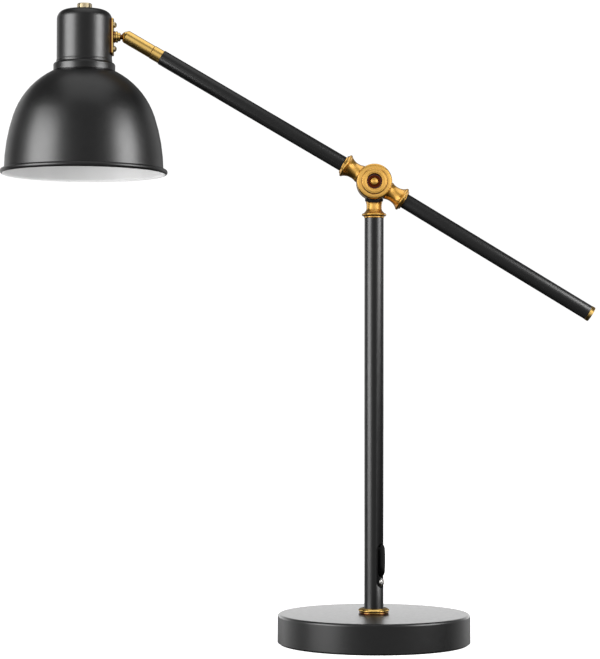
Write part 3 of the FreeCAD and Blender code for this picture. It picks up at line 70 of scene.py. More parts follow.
MM = 0.001
FINE = 192                          # faces round the largest turned pieces
MEDIUM = 128
SMALL = 72
HOLD = 0.12                         # strip that keeps a flat face flat beside a rounded corner
CORNER_SHARE = 0.42                 # most of a side that the rounding of its corner takes
STRAIGHT = 0.02                     # turn below which a corner needs no rounding
ARC_STEP = 5.0                      # degrees of an arc to a face
ON_AXIS = 1e-6                      # radius below which a point is on the axis
WELD = 1e-7                         # metres within which two points are one
SOLID_WELD = 2e-6                   # the same on a copy of a solid
FLAT = math.radians(0.6)            # bend below which a solid's faces are one
CREASE = math.radians(32)
FINE_CREASE = math.radians(15)
# how enclosed a point is sets how much shade is painted into the colour of brass there
SHELTER = "shelter"                 # attribute: how enclosed each point of a brass piece is
SHELTER_RAYS = 18
RAY_LIFT = 0.00002                  # metres from the surface to the start of its rays
NOISE_MIDDLE = (0.25, 0.75)         # part of a noise's range that is spread over a finish
WHITE = (1.0, 1.0, 1.0)
NONE = Vector((0.0, 0.0, 0.0))


class Body(Enum):
    """Bodies of the frame that pieces ride on."""

    STAND = "stand"
    ROCKER = "rocker"
    ARM = "arm"
    HEAD = "head"


class Slot(Enum):
    """Material slots of the record."""

    FOAM = "foam_pad"
    PAINT = "black_paint"
    ZINC = "zinc_steel"
    IRON = "cast_iron"
    RUBBER = "black_rubber"
    PLASTIC = "black_plastic"
    WHITE_PLASTIC = "white_plastic"
    SCREW = "bright_screw"
    POLISHED = "polished_brass"
    SATIN = "satin_brass"
    BARE = "bare_brass"
    BULB_CAP = "bulb_cap"
    OPAL = "opal_glass"


class Group(Enum):
    """Groups of pieces that have lights of their own."""

    METAL = "lit_as_metal"
    COATED = "lit_as_coated"
    BASE = "lit_as_base"


class Side(IntEnum):
    """Sides of a painted shell, which are its material slots."""

    OUTER = 0
    INNER = 1


class Join(Enum):
    """Ways to combine two meshes."""

    CUT = "DIFFERENCE"
    UNITE = "UNION"


# --- places taken from the frame ---
@dataclass(frozen=True)
class Spindle:
    """Axis that a turned piece is made about: a point in millimetres and a direction."""

    origin: Point = (0.0, 0.0, 0.0)
    way: Point = (0.0, 0.0, 1.0)

    def matrix(self) -> Matrix:
        """Returns the matrix that takes a piece made about Z onto the axis, in millimetres."""
        turn = Vector((0, 0, 1)).rotation_difference(Vector(self.way))
        return Matrix.Translation(Vector(self.origin)) @ turn.to_matrix().to_4x4()


def joint_named(name: str) -> dict:
    """Returns a joint of the frame, with its pos_m and axis."""
    return next(joint for joint in frame["joints"] if joint["name"] == name)


def millimetres(point: list[float]) -> Point:
    """Returns a point of the frame in millimetres."""
    return tuple(value / MM for value in point)


def span(node: str) -> tuple[Vector, Vector]:
    """Returns the lowest and highest corners of a solid in millimetres."""
    low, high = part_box(node)
    return low / MM, high / MM


HUB = millimetres(joint_named("arm_tilt")["pos_m"])
BALL = millimetres(joint_named("head_swing")["pos_m"])
FRONT_WAY = tuple(joint_named("head_swing")["axis"])
REAR_DROP = math.radians(31.3)
REAR_WAY = (math.cos(REAR_DROP), 0.0, -math.sin(REAR_DROP))
SHADE_CENTRE = ((span("shade_dome")[0] + span("shade_dome")[1]) / 2).x
SWITCH_BEARING = math.radians(-35.0)
SWITCH_WAY = (math.cos(SWITCH_BEARING), math.sin(SWITCH_BEARING), 0.0)

UPRIGHT = Spindle()
FRONT_ARM = Spindle(HUB, FRONT_WAY)
REAR_ARM = Spindle(HUB, REAR_WAY)
HUB_PIN = Spindle(HUB, (0.0, -1.0, 0.0))
STUD_PIN = Spindle(BALL, (-1.0, 0.0, 0.0))
SHADE_PIN = Spindle((SHADE_CENTRE, 0.0, 0.0))


# --- nodes ---
class NodeBench:
    """Nodes and links of one tree."""

    def __init__(self, tree: bpy.types.NodeTree) -> None:
        """Opens a tree for building."""
        self.nodes = tree.nodes
        self.links = tree.links

    def feed(self, socket: Socket, value: object) -> None:
        """Feeds an input.

        Args:
            socket: the input.
            value: the socket that it is linked to, or its constant.
        """
        if isinstance(value, Socket):
            self.links.new(value, socket)
        else:
            socket.default_value = (*value, 1.0) if socket.type == "RGBA" else value

    def add(self, kind: str, inputs: dict[str | int, object] | None = None, **settings: object
            ) -> bpy.types.Node:
        """Adds a node.

        Args:
            kind: the node's type.
            inputs: a socket or a constant for each input.
            **settings: attributes of the node.

        Returns:
            The new node.
        """
        node = self.nodes.new(kind)
        for key, value in settings.items():
            setattr(node, key, value)
        for key, value in (inputs or {}).items():
            self.feed(node.inputs[key], value)
        return node

    def reckon(self, operation: str, first: Socket, second: Socket | float) -> Socket:
        """Returns the result of a sum on two values."""
        return self.add("ShaderNodeMath", {0: first, 1: second}, operation=operation).outputs[0]

    def ramp(self, value: Socket, ramp: Ramp, kind: str = "SMOOTHSTEP") -> Socket:
        """Returns a value mapped from one range to another."""
        inputs = {"Value": value} | dict(zip(("From Min", "From Max", "To Min", "To Max"), ramp))
        return self.add("ShaderNodeMapRange", inputs, interpolation_type=kind).outputs["Result"]


class Grain(NamedTuple):
    """Scale and detail of a noise."""

    scale: float
    detail: float = 4.0


class PaintBench(NodeBench):
    """Builds the nodes of one material."""

    def __init__(self, name: str) -> None:
        """Starts a material.

        Args:
            name: its name.
        """
        self.material = bpy.data.materials.new(name)
        self.material.use_nodes = True
        super().__init__(self.material.node_tree)
        self.shader = self.nodes["Principled BSDF"]

    def shade(self, **values: object) -> None:
        """Feeds the shader's own inputs, named with underscores for spaces."""
        for label, value in values.items():
            self.feed(self.shader.inputs[label.replace("_", " ")], value)

    def place(self, spindle: Spindle) -> Socket:
        """Lays out coordinates in a spindle's own axes.

        Args:
            spindle: the spindle.

        Returns:
            The coordinates, in metres.
        """
        inputs = {"Vector": self.add("ShaderNodeTexCoord").outputs["Object"],
                  "Location": Vector(spindle.origin) * MM, "Rotation": spindle.matrix().to_euler()}
        return self.add("ShaderNodeMapping", inputs, vector_type="TEXTURE").outputs["Vector"]

    def turning(self, vector: Socket) -> Socket:
        """Makes coordinates alike all the way round the axis.

        Args:
            vector: coordinates in the axes of a spindle.

        Returns:
            The radius as X and the height as Z.
        """
        parts = self.add("ShaderNodeSeparateXYZ", {0: vector}).outputs
        flat = self.add("ShaderNodeCombineXYZ", {"X": parts["X"], "Y": parts["Y"]}).outputs[0]
        radius = self.add("ShaderNodeVectorMath", {0: flat}, operation="LENGTH").outputs["Value"]
        return self.add("ShaderNodeCombineXYZ", {"X": radius, "Z": parts["Z"]}).outputs[0]

    def cloud(self, vector: Socket, grain: Grain) -> Socket:
        """Returns the value of a noise."""
        inputs = {"Vector": vector, "Scale": grain.scale, "Detail": grain.detail}
        return self.add("ShaderNodeTexNoise", inputs).outputs["Fac"]

    def spread(self, vector: Socket, grain: Grain, low: float, high: float) -> Socket:
        """Returns a noise spread from low to high."""
        return self.ramp(self.cloud(vector, grain), (*NOISE_MIDDLE, low, high), "LINEAR")

    def mixed(self, value: Socket, first: Colour | Socket, second: Colour | Socket) -> Socket:
        """Mixes two colours.

        Args:
            value: how much of the second there is, from 0 to 1.
            first: a colour, or a socket that gives one.
            second: likewise.

        Returns:
            The mixed colour's socket.
        """
        mix = self.add("ShaderNodeMix", {"Factor": value}, data_type="RGBA")
        sockets = [socket for socket in mix.inputs if socket.type == "RGBA"]
        for socket, colour in zip(sockets, (first, second)):
            self.feed(socket, colour)
        return next(socket for socket in mix.outputs if socket.type == "RGBA")


# --- finishes ---
@dataclass(frozen=True)
class Finish:
    """Finish whose colour, roughness and relief each follow a noise of its own."""

    name: str
    light: Colour
    dark: Colour
    smooth: float
    rough: float
    depth: float = 0.00001                      # of the relief, in metres
    clouds: Grain = Grain(40.0)                 # noise of the colour
    smears: Grain = Grain(300.0)                # noise of the roughness
    grain: Grain = Grain(2200.0, 3.0)           # noise of the relief
    constants: tuple[tuple[str, float], ...] = ()

    def colour(self, bench: PaintBench, where: Socket) -> Socket:
        """Returns the base colour."""
        return bench.mixed(bench.spread(where, self.clouds, 0.0, 1.0), self.light, self.dark)

    def relief(self, bench: PaintBench, where: Socket) -> Socket:
        """Returns the coordinates that the relief follows."""
        return where

    def build(self, spindle: Spindle) -> Material:
        """Mixes the material.

        Args:
            spindle: the axes that it is laid out in.

        Returns:
            The material.
        """
        bench = PaintBench(self.name)
        where = bench.place(spindle)
        height = bench.cloud(self.relief(bench, where), self.grain)
        bump = bench.add("ShaderNodeBump", {"Strength": 1.0, "Distance": self.depth, "Height": height})
        bench.shade(Base_Color=self.colour(bench, where), Normal=bump.outputs["Normal"],
                    Roughness=bench.spread(where, self.smears, self.smooth, self.rough),
                    **dict(self.constants))
        return bench.material


@dataclass(frozen=True)
class TurnedMetal(Finish):
    """Metal turned on a lathe: fine lines round the axis, a little cloudiness, and painted shade in hollows."""

    depth: float = 0.0000006
    clouds: Grain = Grain(70.0, 5.0)
    smears: Grain = Grain(260.0, 5.0)
    grain: Grain = Grain(3500.0, 2.0)
    constants: tuple[tuple[str, float], ...] = (("Metallic", 1.0),)
    # painted shade: the dark colour that enclosed points of the brass are mixed towards
    hollow_shade: Colour = (0.11, 0.018, 0.004)
    enclosed: tuple[float, float] = (0.10, 0.36)    # shelter where that colour starts, and is full

    def colour(self, bench: PaintBench, where: Socket) -> Socket:
        """Paints shade into the base colour, darker where the piece is enclosed.

        Args:
            bench: the nodes of the material.
            where: coordinates of the piece.

        Returns:
            The colour's socket.
        """
        shelter = bench.add("ShaderNodeAttribute", attribute_name=SHELTER).outputs["Fac"]
        return bench.mixed(bench.ramp(shelter, (*self.enclosed, 0.0, 1.0)), super().colour(bench, where),
                           self.hollow_shade)

    def relief(self, bench: PaintBench, where: Socket) -> Socket:
        """Returns coordinates that run round the axis."""
        return bench.turning(where)


def lacquered(weight: float) -> tuple[tuple[str, float], ...]:
    """Returns the constants of metal under a clear lacquer."""
    return ("Metallic", 1.0), ("Coat_Weight", weight), ("Coat_Roughness", 0.16)


def grey(value: float) -> Colour:
    """Returns a grey."""
    return value, value, value


BLURRED = Grain(120.0, 6.0), Grain(400.0, 5.0)
COAT = Finish("satin_black_coat", (0.0004, 0.0004, 0.0005), (0.0009, 0.0009, 0.0010), 0.35, 0.385,
              0.0000025, Grain(18.0), Grain(200.0, 5.0), Grain(1400.0, 2.0), (("IOR", 1.5),))
ENAMEL = Finish("white_enamel", grey(0.46), grey(0.43), 0.38, 0.5, 0.000004,
                Grain(30.0), Grain(90.0), Grain(1200.0, 2.0))
POLISHED = TurnedMetal("polished_brass", (0.82, 0.55, 0.17), (0.78, 0.49, 0.13), 0.22, 0.28, 0.0000004,
                       constants=lacquered(0.2))
PALE = TurnedMetal("pale_brass", (0.56, 0.47, 0.30), (0.50, 0.41, 0.25), 0.24, 0.32, 0.0000004,
                   constants=lacquered(0.3))
SATIN = TurnedMetal("satin_brass", (0.90, 0.51, 0.10), (0.85, 0.45, 0.075), 0.33, 0.40, 0.0000012,
                    grain=Grain(2600.0, 2.0), constants=lacquered(0.8))
AGED = TurnedMetal("aged_brass", (0.90, 0.51, 0.10), (0.85, 0.45, 0.075), 0.33, 0.40, 0.0000012,
                   grain=Grain(2600.0, 2.0))
BARE = TurnedMetal("bare_brass", (0.78, 0.60, 0.28), (0.66, 0.50, 0.22), 0.22, 0.36)
BRIGHT = TurnedMetal("bright_screw", (0.80, 0.78, 0.76), (0.68, 0.66, 0.64), 0.14, 0.24)
CAP_ALLOY = TurnedMetal("bulb_cap_alloy", (0.78, 0.78, 0.79), (0.66, 0.66, 0.68), 0.25, 0.4)
ZINC = Finish("zinc_steel", (0.62, 0.63, 0.66), grey(0.50), 0.28, 0.48, 0.00001, *BLURRED,
              Grain(900.0, 5.0), (("Metallic", 1.0),))
IRON = Finish("cast_iron", grey(0.10), (0.05, 0.045, 0.04), 0.6, 0.85, 0.0002, *BLURRED,
              Grain(500.0, 5.0), (("Metallic", 0.7),))
FOAM = Finish("foam_pad", grey(0.006), grey(0.003), 0.85, 0.98, 0.0001, grain=Grain(1500.0, 3.0),
              constants=(("Sheen_Weight", 0.02),))
RUBBER = Finish("black_rubber", grey(0.008), grey(0.005), 0.55, 0.75)
PLASTIC = Finish("black_plastic", grey(0.0020), grey(0.0012), 0.40, 0.50,
                 constants=(("Specular_IOR_Level", 0.16),))
GLOSSY = Finish("glossy_black_plastic", grey(0.0008), grey(0.0005), 0.10, 0.16, 0.000002,
                grain=Grain(900.0, 3.0), constants=(("Specular_IOR_Level", 0.06),))
PORCELAIN = Finish("white_plastic", (0.84, 0.84, 0.81), (0.78, 0.77, 0.74), 0.35, 0.5)
OPAL = Finish("opal_glass", (0.93, 0.93, 0.90), (0.88, 0.89, 0.87), 0.16, 0.26, 0.00001,
              Grain(50.0), Grain(160.0), Grain(220.0, 2.0),
              (("IOR", 1.5), ("Transmission_Weight", 0.25), ("Coat_Weight", 0.3),
               ("Coat_Roughness", 0.08)))

FINISH_OF_SLOT = {
    Slot.FOAM: FOAM,
    Slot.PAINT: COAT,
    Slot.ZINC: ZINC,
    Slot.IRON: IRON,
    Slot.RUBBER: RUBBER,
    Slot.PLASTIC: PLASTIC,
    Slot.WHITE_PLASTIC: PORCELAIN,
    Slot.SCREW: BRIGHT,
    Slot.POLISHED: POLISHED,
    Slot.SATIN: SATIN,
    Slot.BARE: BARE,
    Slot.BULB_CAP: CAP_ALLOY,
    Slot.OPAL: OPAL,
}
METAL_SLOTS = {Slot.POLISHED, Slot.SATIN, Slot.BARE, Slot.SCREW, Slot.ZINC, Slot.IRON, Slot.PLASTIC,
               Slot.FOAM, Slot.RUBBER}


class PaintShop:
    """Keeps one material for each finish and spindle."""

    def __init__(self) -> None:
        """Starts with no material mixed."""
        self.mixed: dict[tuple[Finish, Spindle], Material] = {}

    def material(self, finish: Finish, spindle: Spindle = UPRIGHT) -> Material:
        """Gives a finish about a spindle, mixed once.

        Args:
            finish: the finish.
            spindle: the axes that it is laid out in.

        Returns:
            The material.
        """
        key = (finish, spindle)
        if key not in self.mixed:
            self.mixed[key] = finish.build(spindle)
        return self.mixed[key]


PAINTS = PaintShop()


# --- turned outlines ---
class Step(NamedTuple):
    """Corner of a turned outline, in millimetres, and the way to it."""

    radius: float
    height: float
    rounded: float = 0.0            # radius of the rounding, where two lines meet
    sag: float = 0.0                # bow of an arc to the left of its way, and 0 for a line
    coat: int = Side.OUTER          # material slot of the way to it


def raised(profile: Profile, base: float = 0.0) -> list[Step]:
    """Returns the steps of a profile, with their heights counted from a base."""
    return [Step(radius, height + base, *rest) for radius, height, *rest in profile]


def rod(radius: float, reach: float) -> list[Step]:
    """Returns the outline of a plain rod that reaches equally far both ways."""
    return raised(((0, -reach), (radius, -reach), (radius, reach), (0, reach)))


def arc_points(start: Vector, end: Vector, sag: float) -> list[Vector]:
    """Samples an arc.

    Args:
        start: its first point.
        end: its last point.
        sag: how far it bows to the left of its way.

    Returns:
        Its points after the start, up to the end.
    """
    chord = end - start
    half = chord.length / 2
    radius = (half * half + sag * sag) / (2 * abs(sag))
    sweep = 4 * math.atan2(abs(sag), half)
    count = max(4, math.ceil(math.degrees(sweep) / ARC_STEP))
    left = Vector((-chord.y, chord.x)).normalized() * (1 if sag > 0 else -1)
    centre = (start + end) / 2 + left * (abs(sag) - radius)
    first = start - centre
    side = -1 if sag > 0 else 1
    points = []
    for index in range(1, count + 1):
        turn = side * sweep * index / count
        points.append(centre + Vector((first.x * math.cos(turn) - first.y * math.sin(turn),
                                       first.x * math.sin(turn) + first.y * math.cos(turn))))
    points[-1] = end.copy()
    return points


def rounded_corner(before: Vector, corner: Vector, after: Vector, radius: float) -> list[Vector]:
    """Rounds a corner and holds each flat side with one more point.

    Args:
        before: the corner before it.
        corner: the corner.
        after: the corner after it.
        radius: radius of the rounding.

    Returns:
        The points that take the corner's place.
    """
    into = (corner - before).normalized()
    out = (after - corner).normalized()
    turn = math.acos(max(-1.0, min(1.0, into.dot(out))))
    if turn < STRAIGHT:
        return [corner]
    room = CORNER_SHARE * min((corner - before).length, (after - corner).length)
    reach = min(radius * math.tan(turn / 2), room)
    radius = reach / math.tan(turn / 2)
    start = corner - into * reach
    end = corner + out * reach
    sag = radius * (1 - math.cos(turn / 2))
    left = into.x * out.y - into.y * out.x > 0
    hold = min(HOLD, room * 0.5)
    return [start - into * hold, start, *arc_points(start, end, -sag if left else sag), end + out * hold]


def sampled(steps: list[Step], closed: bool) -> list[tuple[float, float, int]]:
    """Samples an outline.

    Args:
        steps: its corners.
        closed: whether a last line joins its end to its start.

    Returns:
        Radius, height and material slot of each point, in order.
    """
    corners = [Vector(step[:2]) for step in steps]
    ways = steps[1:] + ([steps[-1]._replace(sag=0.0)] if closed else [])
    points = []
    for index, corner in enumerate(corners):
        leaving = ways[index] if index < len(ways) else None
        after = corners[(index + 1) % len(corners)]
        bowed = bool(leaving and leaving.sag)
        straight_in = (index > 0 or closed) and not ways[index - 1].sag
        coat = (leaving or ways[-1]).coat
        if steps[index].rounded and straight_in and leaving and not bowed:
            nearby = rounded_corner(corners[index - 1], corner, after, steps[index].rounded)
        else:
            nearby = [corner]
        if bowed:
            nearby += arc_points(corner, after, leaving.sag)[:-1]
        points += [(point.x, point.y, coat) for point in nearby]
    return points


def mesh_of(work: bmesh.types.BMesh, name: str) -> Mesh:
    """Merges a shape's doubles, turns its faces outwards, and frees it.

    Args:
        work: the shape.
        name: the mesh's name.

    Returns:
        The shape as a mesh.
    """
    bmesh.ops.remove_doubles(work, verts=work.verts, dist=WELD)
    bmesh.ops.recalc_face_normals(work, faces=work.faces)
    mesh = bpy.data.meshes.new(name)
    work.to_mesh(mesh)
    work.free()
    return mesh


def turned_mesh(name: str, steps: list[Step], spindle: Spindle = UPRIGHT, around: int = MEDIUM,
                closed: bool = True) -> Mesh:
    """Turns an outline about a spindle.

    Args:
        name: the mesh's name.
        steps: the outline.
        spindle: the axis.
        around: how many faces go round.
        closed: whether the outline is a loop; an open one starts and ends on the axis.

    Returns:
        A closed mesh in metres.
    """
    points = sampled(steps, closed)
    place = Matrix.Scale(MM, 4) @ spindle.matrix()
    work = bmesh.new()
    rings = []
    for radius, height, _ in points:
        if radius < ON_AXIS:
            rings.append([work.verts.new(place @ Vector((0, 0, height)))])
            continue
        ring = []
        for index in range(around):
            turn = 2 * math.pi * index / around
            corner = Vector((radius * math.cos(turn), radius * math.sin(turn), height))
            ring.append(work.verts.new(place @ corner))
        rings.append(ring)
    for step in range(len(points) if closed else len(points) - 1):
        low, high = rings[step], rings[(step + 1) % len(rings)]
        for index in range(around):
            following = (index + 1) % around
            corners = [low[index % len(low)], low[following % len(low)],
                       high[following % len(high)], high[index % len(high)]]
            distinct = list(dict.fromkeys(corners))
            if len(distinct) > 2:
                work.faces.new(distinct).material_index = points[step][2]
    return mesh_of(work, name)


# --- pieces ---
def scratch_object(name: str, mesh: Mesh) -> bpy.types.Object:
    """Links an object of a mesh.

    Args:
        name: the object's name.
        mesh: its mesh.

    Returns:
        The object.
    """
    piece = bpy.data.objects.new(name, mesh)
    bpy.context.scene.collection.objects.link(piece)
    return piece


def evaluated_mesh(piece: bpy.types.Object, name: str) -> Mesh:
    """Takes the result of an object's modifiers, and removes the object.

    Args:
        piece: the object.
        name: the mesh's name.

    Returns:
        A plain mesh.
    """
    bpy.context.view_layer.update()
    graph = bpy.context.evaluated_depsgraph_get()
    mesh = bpy.data.meshes.new_from_object(piece.evaluated_get(graph))
    mesh.name = name
    bpy.data.objects.remove(piece)
    return mesh


def combined(mesh: Mesh, tool: Mesh, join: Join = Join.CUT) -> Mesh:
    """Cuts one mesh by another, or joins them into one skin.

    Args:
        mesh: what is worked on.
        tool: the cutter, or the mesh to join.
        join: which of the two.

    Returns:
        A new mesh.
    """
    work = scratch_object("work", mesh)
    cutter = scratch_object("cutter", tool)
    step = work.modifiers.new("cut", "BOOLEAN")
    step.operation = join.value
    step.solver = "EXACT"
    step.object = cutter
    result = evaluated_mesh(work, mesh.name + "_cut")
    bpy.data.objects.remove(cutter)
    return result


def softened(mesh: Mesh, width: float, segments: int = 3) -> Mesh:
    """Rounds the sharp edges of a mesh.

    Args:
        mesh: the mesh.
        width: width of the rounding in millimetres.
        segments: faces across it.

    Returns:
        A new mesh.
    """
    work = scratch_object("work", mesh)
    step = work.modifiers.new("round", "BEVEL")
    step.width = width * MM
    step.segments = segments
    step.limit_method = "ANGLE"
    step.angle_limit = CREASE
    step.use_clamp_overlap = True
    return evaluated_mesh(work, mesh.name + "_round")


def solid_copy(node: str) -> Mesh:
    """Copies a solid's mesh and makes its flat faces whole.

    Args:
        node: the solid.

    Returns:
        A merged mesh.
    """
    work = bmesh.new()
    work.from_mesh(frame["nodes"][node].data)
    bmesh.ops.remove_doubles(work, verts=work.verts, dist=SOLID_WELD)
    bmesh.ops.dissolve_limit(work, angle_limit=FLAT, verts=work.verts, edges=work.edges)
    return mesh_of(work, node + "_copy")


def shelter(mesh: Mesh, beside: tuple[str, ...], reach: float) -> None:
    """Writes how enclosed each point of a mesh is, so that shade can be painted into the hollows of its brass.

    Args:
        mesh: the mesh.
        beside: solids that stand beside it.
        reach: how far a neighbour counts, in millimetres.
    """
    rays = []
    for index in range(SHELTER_RAYS):
        rise = math.sqrt(1 - (index + 0.5) / SHELTER_RAYS)
        turn = index * math.pi * (3 - math.sqrt(5))
        flat = math.sqrt(1 - rise * rise)
        rays.append(Vector((flat * math.cos(turn), flat * math.sin(turn), rise)))
    work = bmesh.new()
    work.from_mesh(mesh)
    for node in beside:
        work.from_mesh(frame["nodes"][node].data)
    tree = BVHTree.FromBMesh(work)
    work.free()
    values = []
    for vertex in mesh.vertices:
        turn = Vector((0, 0, 1)).rotation_difference(vertex.normal)
        start = vertex.co + vertex.normal * RAY_LIFT
        hits = sum(tree.ray_cast(start, turn @ ray, reach * MM)[0] is not None for ray in rays)
        values.append(hits / SHELTER_RAYS)
    mesh.attributes.new(SHELTER, "FLOAT", "POINT").data.foreach_set("value", values)


def pieces_lit(group: Group) -> bpy.types.Collection:
    """Returns the collection of a group's pieces, made once."""
    return bpy.data.collections.get(group.value) or bpy.data.collections.new(group.value)


def light_with_group(piece: bpy.types.Object, slot: Slot) -> None:
    """Puts a piece in the group whose lights suit its finish."""
    pieces_lit(Group.METAL if slot in METAL_SLOTS else Group.COATED).objects.link(piece)


@dataclass(frozen=True)
class Dress:
    """What a piece stands for, rides on and is finished with."""

    name: str
    node: str
    body: Body
    slot: Slot
    finishes: tuple[Finish, ...]
    spindle: Spindle = UPRIGHT
    crease: float = CREASE              # angle above which an edge stays sharp
    around: int = MEDIUM
    # solids beside a brass piece, and how far they reach, set the shade painted into its hollows
    beside: tuple[str, ...] = ()        # solids that shelter it
    reach: float = 0.0                  # how far they do, and 0 for a piece without shelter

    def put_on(self, mesh: Mesh) -> bpy.types.Object:
        """Puts a finished mesh on its body.

        Args:
            mesh: the mesh, in metres and in place.

        Returns:
            The piece.
        """
        # paints shade into the hollows of a brass piece
        if self.reach:
            shelter(mesh, self.beside, self.reach)
        coats = [0] * len(mesh.polygons)
        mesh.polygons.foreach_get("material_index", coats)
        mesh.materials.clear()
        for finish in self.finishes:
            mesh.materials.append(PAINTS.material(finish, self.spindle))
        last = len(self.finishes) - 1
        mesh.polygons.foreach_set("material_index", [min(coat, last) for coat in coats])
        mesh.shade_smooth()
        mesh.set_sharp_from_angle(angle=self.crease)
        piece = scratch_object(self.name, mesh)
        light_with_group(piece, self.slot)
        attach(piece, self.body.value)
        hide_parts(self.node)
        LOG.info("%s: %d faces, on %s, for %s", self.name, len(mesh.polygons), self.body.value,
                 self.node)
        return piece

    def turn(self, steps: list[Step], closed: bool = True) -> None:
        """Turns the piece from its outline and puts it on its body."""
        self.put_on(turned_mesh(self.name, steps, self.spindle, self.around, closed))


# --- geometry node trees ---
class NodeTree(NodeBench):
    """Tree of geometry nodes with named inputs, which ends in realized instances and a material."""

    def __init__(self, name: str, inputs: dict[str, str]) -> None:
        """Starts a tree.

        Args:
            name: the tree's name.
            inputs: kind of each named input, apart from its Material.
        """
        self.group = bpy.data.node_groups.new(name, "GeometryNodeTree")
        super().__init__(self.group)
        self.identifiers = {}
        sockets = self.group.interface
        for label, kind in {**inputs, "Material": "Material"}.items():
            socket = sockets.new_socket(name=label, in_out="INPUT", socket_type="NodeSocket" + kind)
            self.identifiers[label] = socket.identifier
        sockets.new_socket(name="Geometry", in_out="OUTPUT", socket_type="NodeSocketGeometry")
        self.given = self.add("NodeGroupInput").outputs

    def close(self, geometry: Socket) -> None:
        """Ends the tree with realized instances and its Material input.

        Args:
            geometry: what the tree makes.
        """
        whole = self.add("GeometryNodeRealizeInstances", {"Geometry": geometry}).outputs["Geometry"]
        coat = self.add("GeometryNodeSetMaterial",
                        {"Geometry": whole, "Material": self.given["Material"]})
        self.add("NodeGroupOutput", {"Geometry": coat.outputs["Geometry"]})

    def mesh(self, name: str, **values: object) -> Mesh:
        """Runs the tree on an empty object.

        Args:
            name: name of the result.
            **values: value of each input, named with underscores for spaces.

        Returns:
            The result as a plain mesh.
        """
        work = scratch_object("work", bpy.data.meshes.new("empty"))
        step = work.modifiers.new("tree", "NODES")
        step.node_group = self.group
        for key, value in values.items():
            step[self.identifiers[key.replace("_", " ")]] = value
        return evaluated_mesh(work, name)


class RowTree(NodeTree):
    """Row of like pieces: a template set on points from a start, a step apart."""

    def __init__(self) -> None:
        """Builds the tree."""
        super().__init__("row_of_pieces", {"Template": "Object", "Count": "Int", "Start": "Vector",
                                           "Step": "Vector", "Turn": "Vector", "Turn Each": "Vector"})
        line = self.add("GeometryNodeMeshLine", {
            "Count": self.given["Count"], "Offset": self.given["Step"],
            "Start Location": self.given["Start"]}, mode="OFFSET")
        info = self.add("GeometryNodeObjectInfo", {"Object": self.given["Template"]},
                        transform_space="ORIGINAL")
        index = self.add("GeometryNodeInputIndex").outputs[0]
        more = self.add("ShaderNodeVectorMath", {0: self.given["Turn Each"], "Scale": index},
                        operation="SCALE")
        turn = self.add("ShaderNodeVectorMath", {0: self.given["Turn"], 1: more.outputs["Vector"]},
                        operation="ADD")
        setting = self.add("GeometryNodeInstanceOnPoints", {
            "Points": line.outputs["Mesh"], "Instance": info.outputs["Geometry"],
            "Rotation": turn.outputs["Vector"]})
        self.close(setting.outputs["Instances"])

    def put_on(self, dress: Dress, template: Mesh, count: int, start: Vector, step: Vector, turn: Vector,
               each: Vector = NONE) -> None:
        """Sets copies of a mesh in a row and puts them on their body as one piece.

        Args:
            dress: the piece's body and finish.
            template: the mesh, made about Z.
            count: how many.
            start: the first one's place, in millimetres.
            step: from one to the next.
            turn: how the first is turned.
            each: how much more each next one is turned.
        """
        model = scratch_object("template", template)
        material = PAINTS.material(dress.finishes[0], dress.spindle)
        mesh = self.mesh(dress.name, Template=model, Count=count, Start=start * MM, Step=step * MM,
                         Turn=turn, Turn_Each=each, Material=material)
        bpy.data.objects.remove(model)
        dress.put_on(mesh)


class TubeTree(NodeTree):
    """Round tube: the section of its wall, with rounded edges, swept round the axis."""

    def __init__(self) -> None:
        """Builds the tree."""
        super().__init__("round_tube", {"Length": "Float", "Radius": "Float", "Wall": "Float",
                                        "Edge": "Float", "Sides": "Int"})
        section = self.add("GeometryNodeCurvePrimitiveQuadrilateral",
                           {"Width": self.given["Wall"], "Height": self.given["Length"]})
        rounded = self.add("GeometryNodeFilletCurve", {"Curve": section.outputs["Curve"], "Count": 3,
                                                       "Radius": self.given["Edge"]}, mode="POLY")
        half = self.reckon("MULTIPLY", self.given["Wall"], 0.5)
        middle = self.reckon("SUBTRACT", self.given["Radius"], half)
        circle = self.add("GeometryNodeCurvePrimitiveCircle", {"Resolution": self.given["Sides"],
                                                               "Radius": middle})
        sweep = self.add("GeometryNodeCurveToMesh", {"Curve": circle.outputs["Curve"],
                                                     "Profile Curve": rounded.outputs["Curve"]})
        self.close(sweep.outputs["Mesh"])


ROWS = RowTree()
TUBES = TubeTree()


def placed(mesh: Mesh, spindle: Spindle, height: float) -> Mesh:
    """Turns the faces of a mesh made about Z outwards, and moves it to a height on a spindle.

    Args:
        mesh: the mesh, in metres.
        spindle: the spindle.
        height: in millimetres.

    Returns:
        A mesh in place.
    """
    work = bmesh.new()
    work.from_mesh(mesh)
    mesh = mesh_of(work, mesh.name)
    mesh.transform(Matrix.Scale(MM, 4) @ spindle.matrix() @ Matrix.Translation((0, 0, height))
                   @ Matrix.Scale(1 / MM, 4))
    return mesh


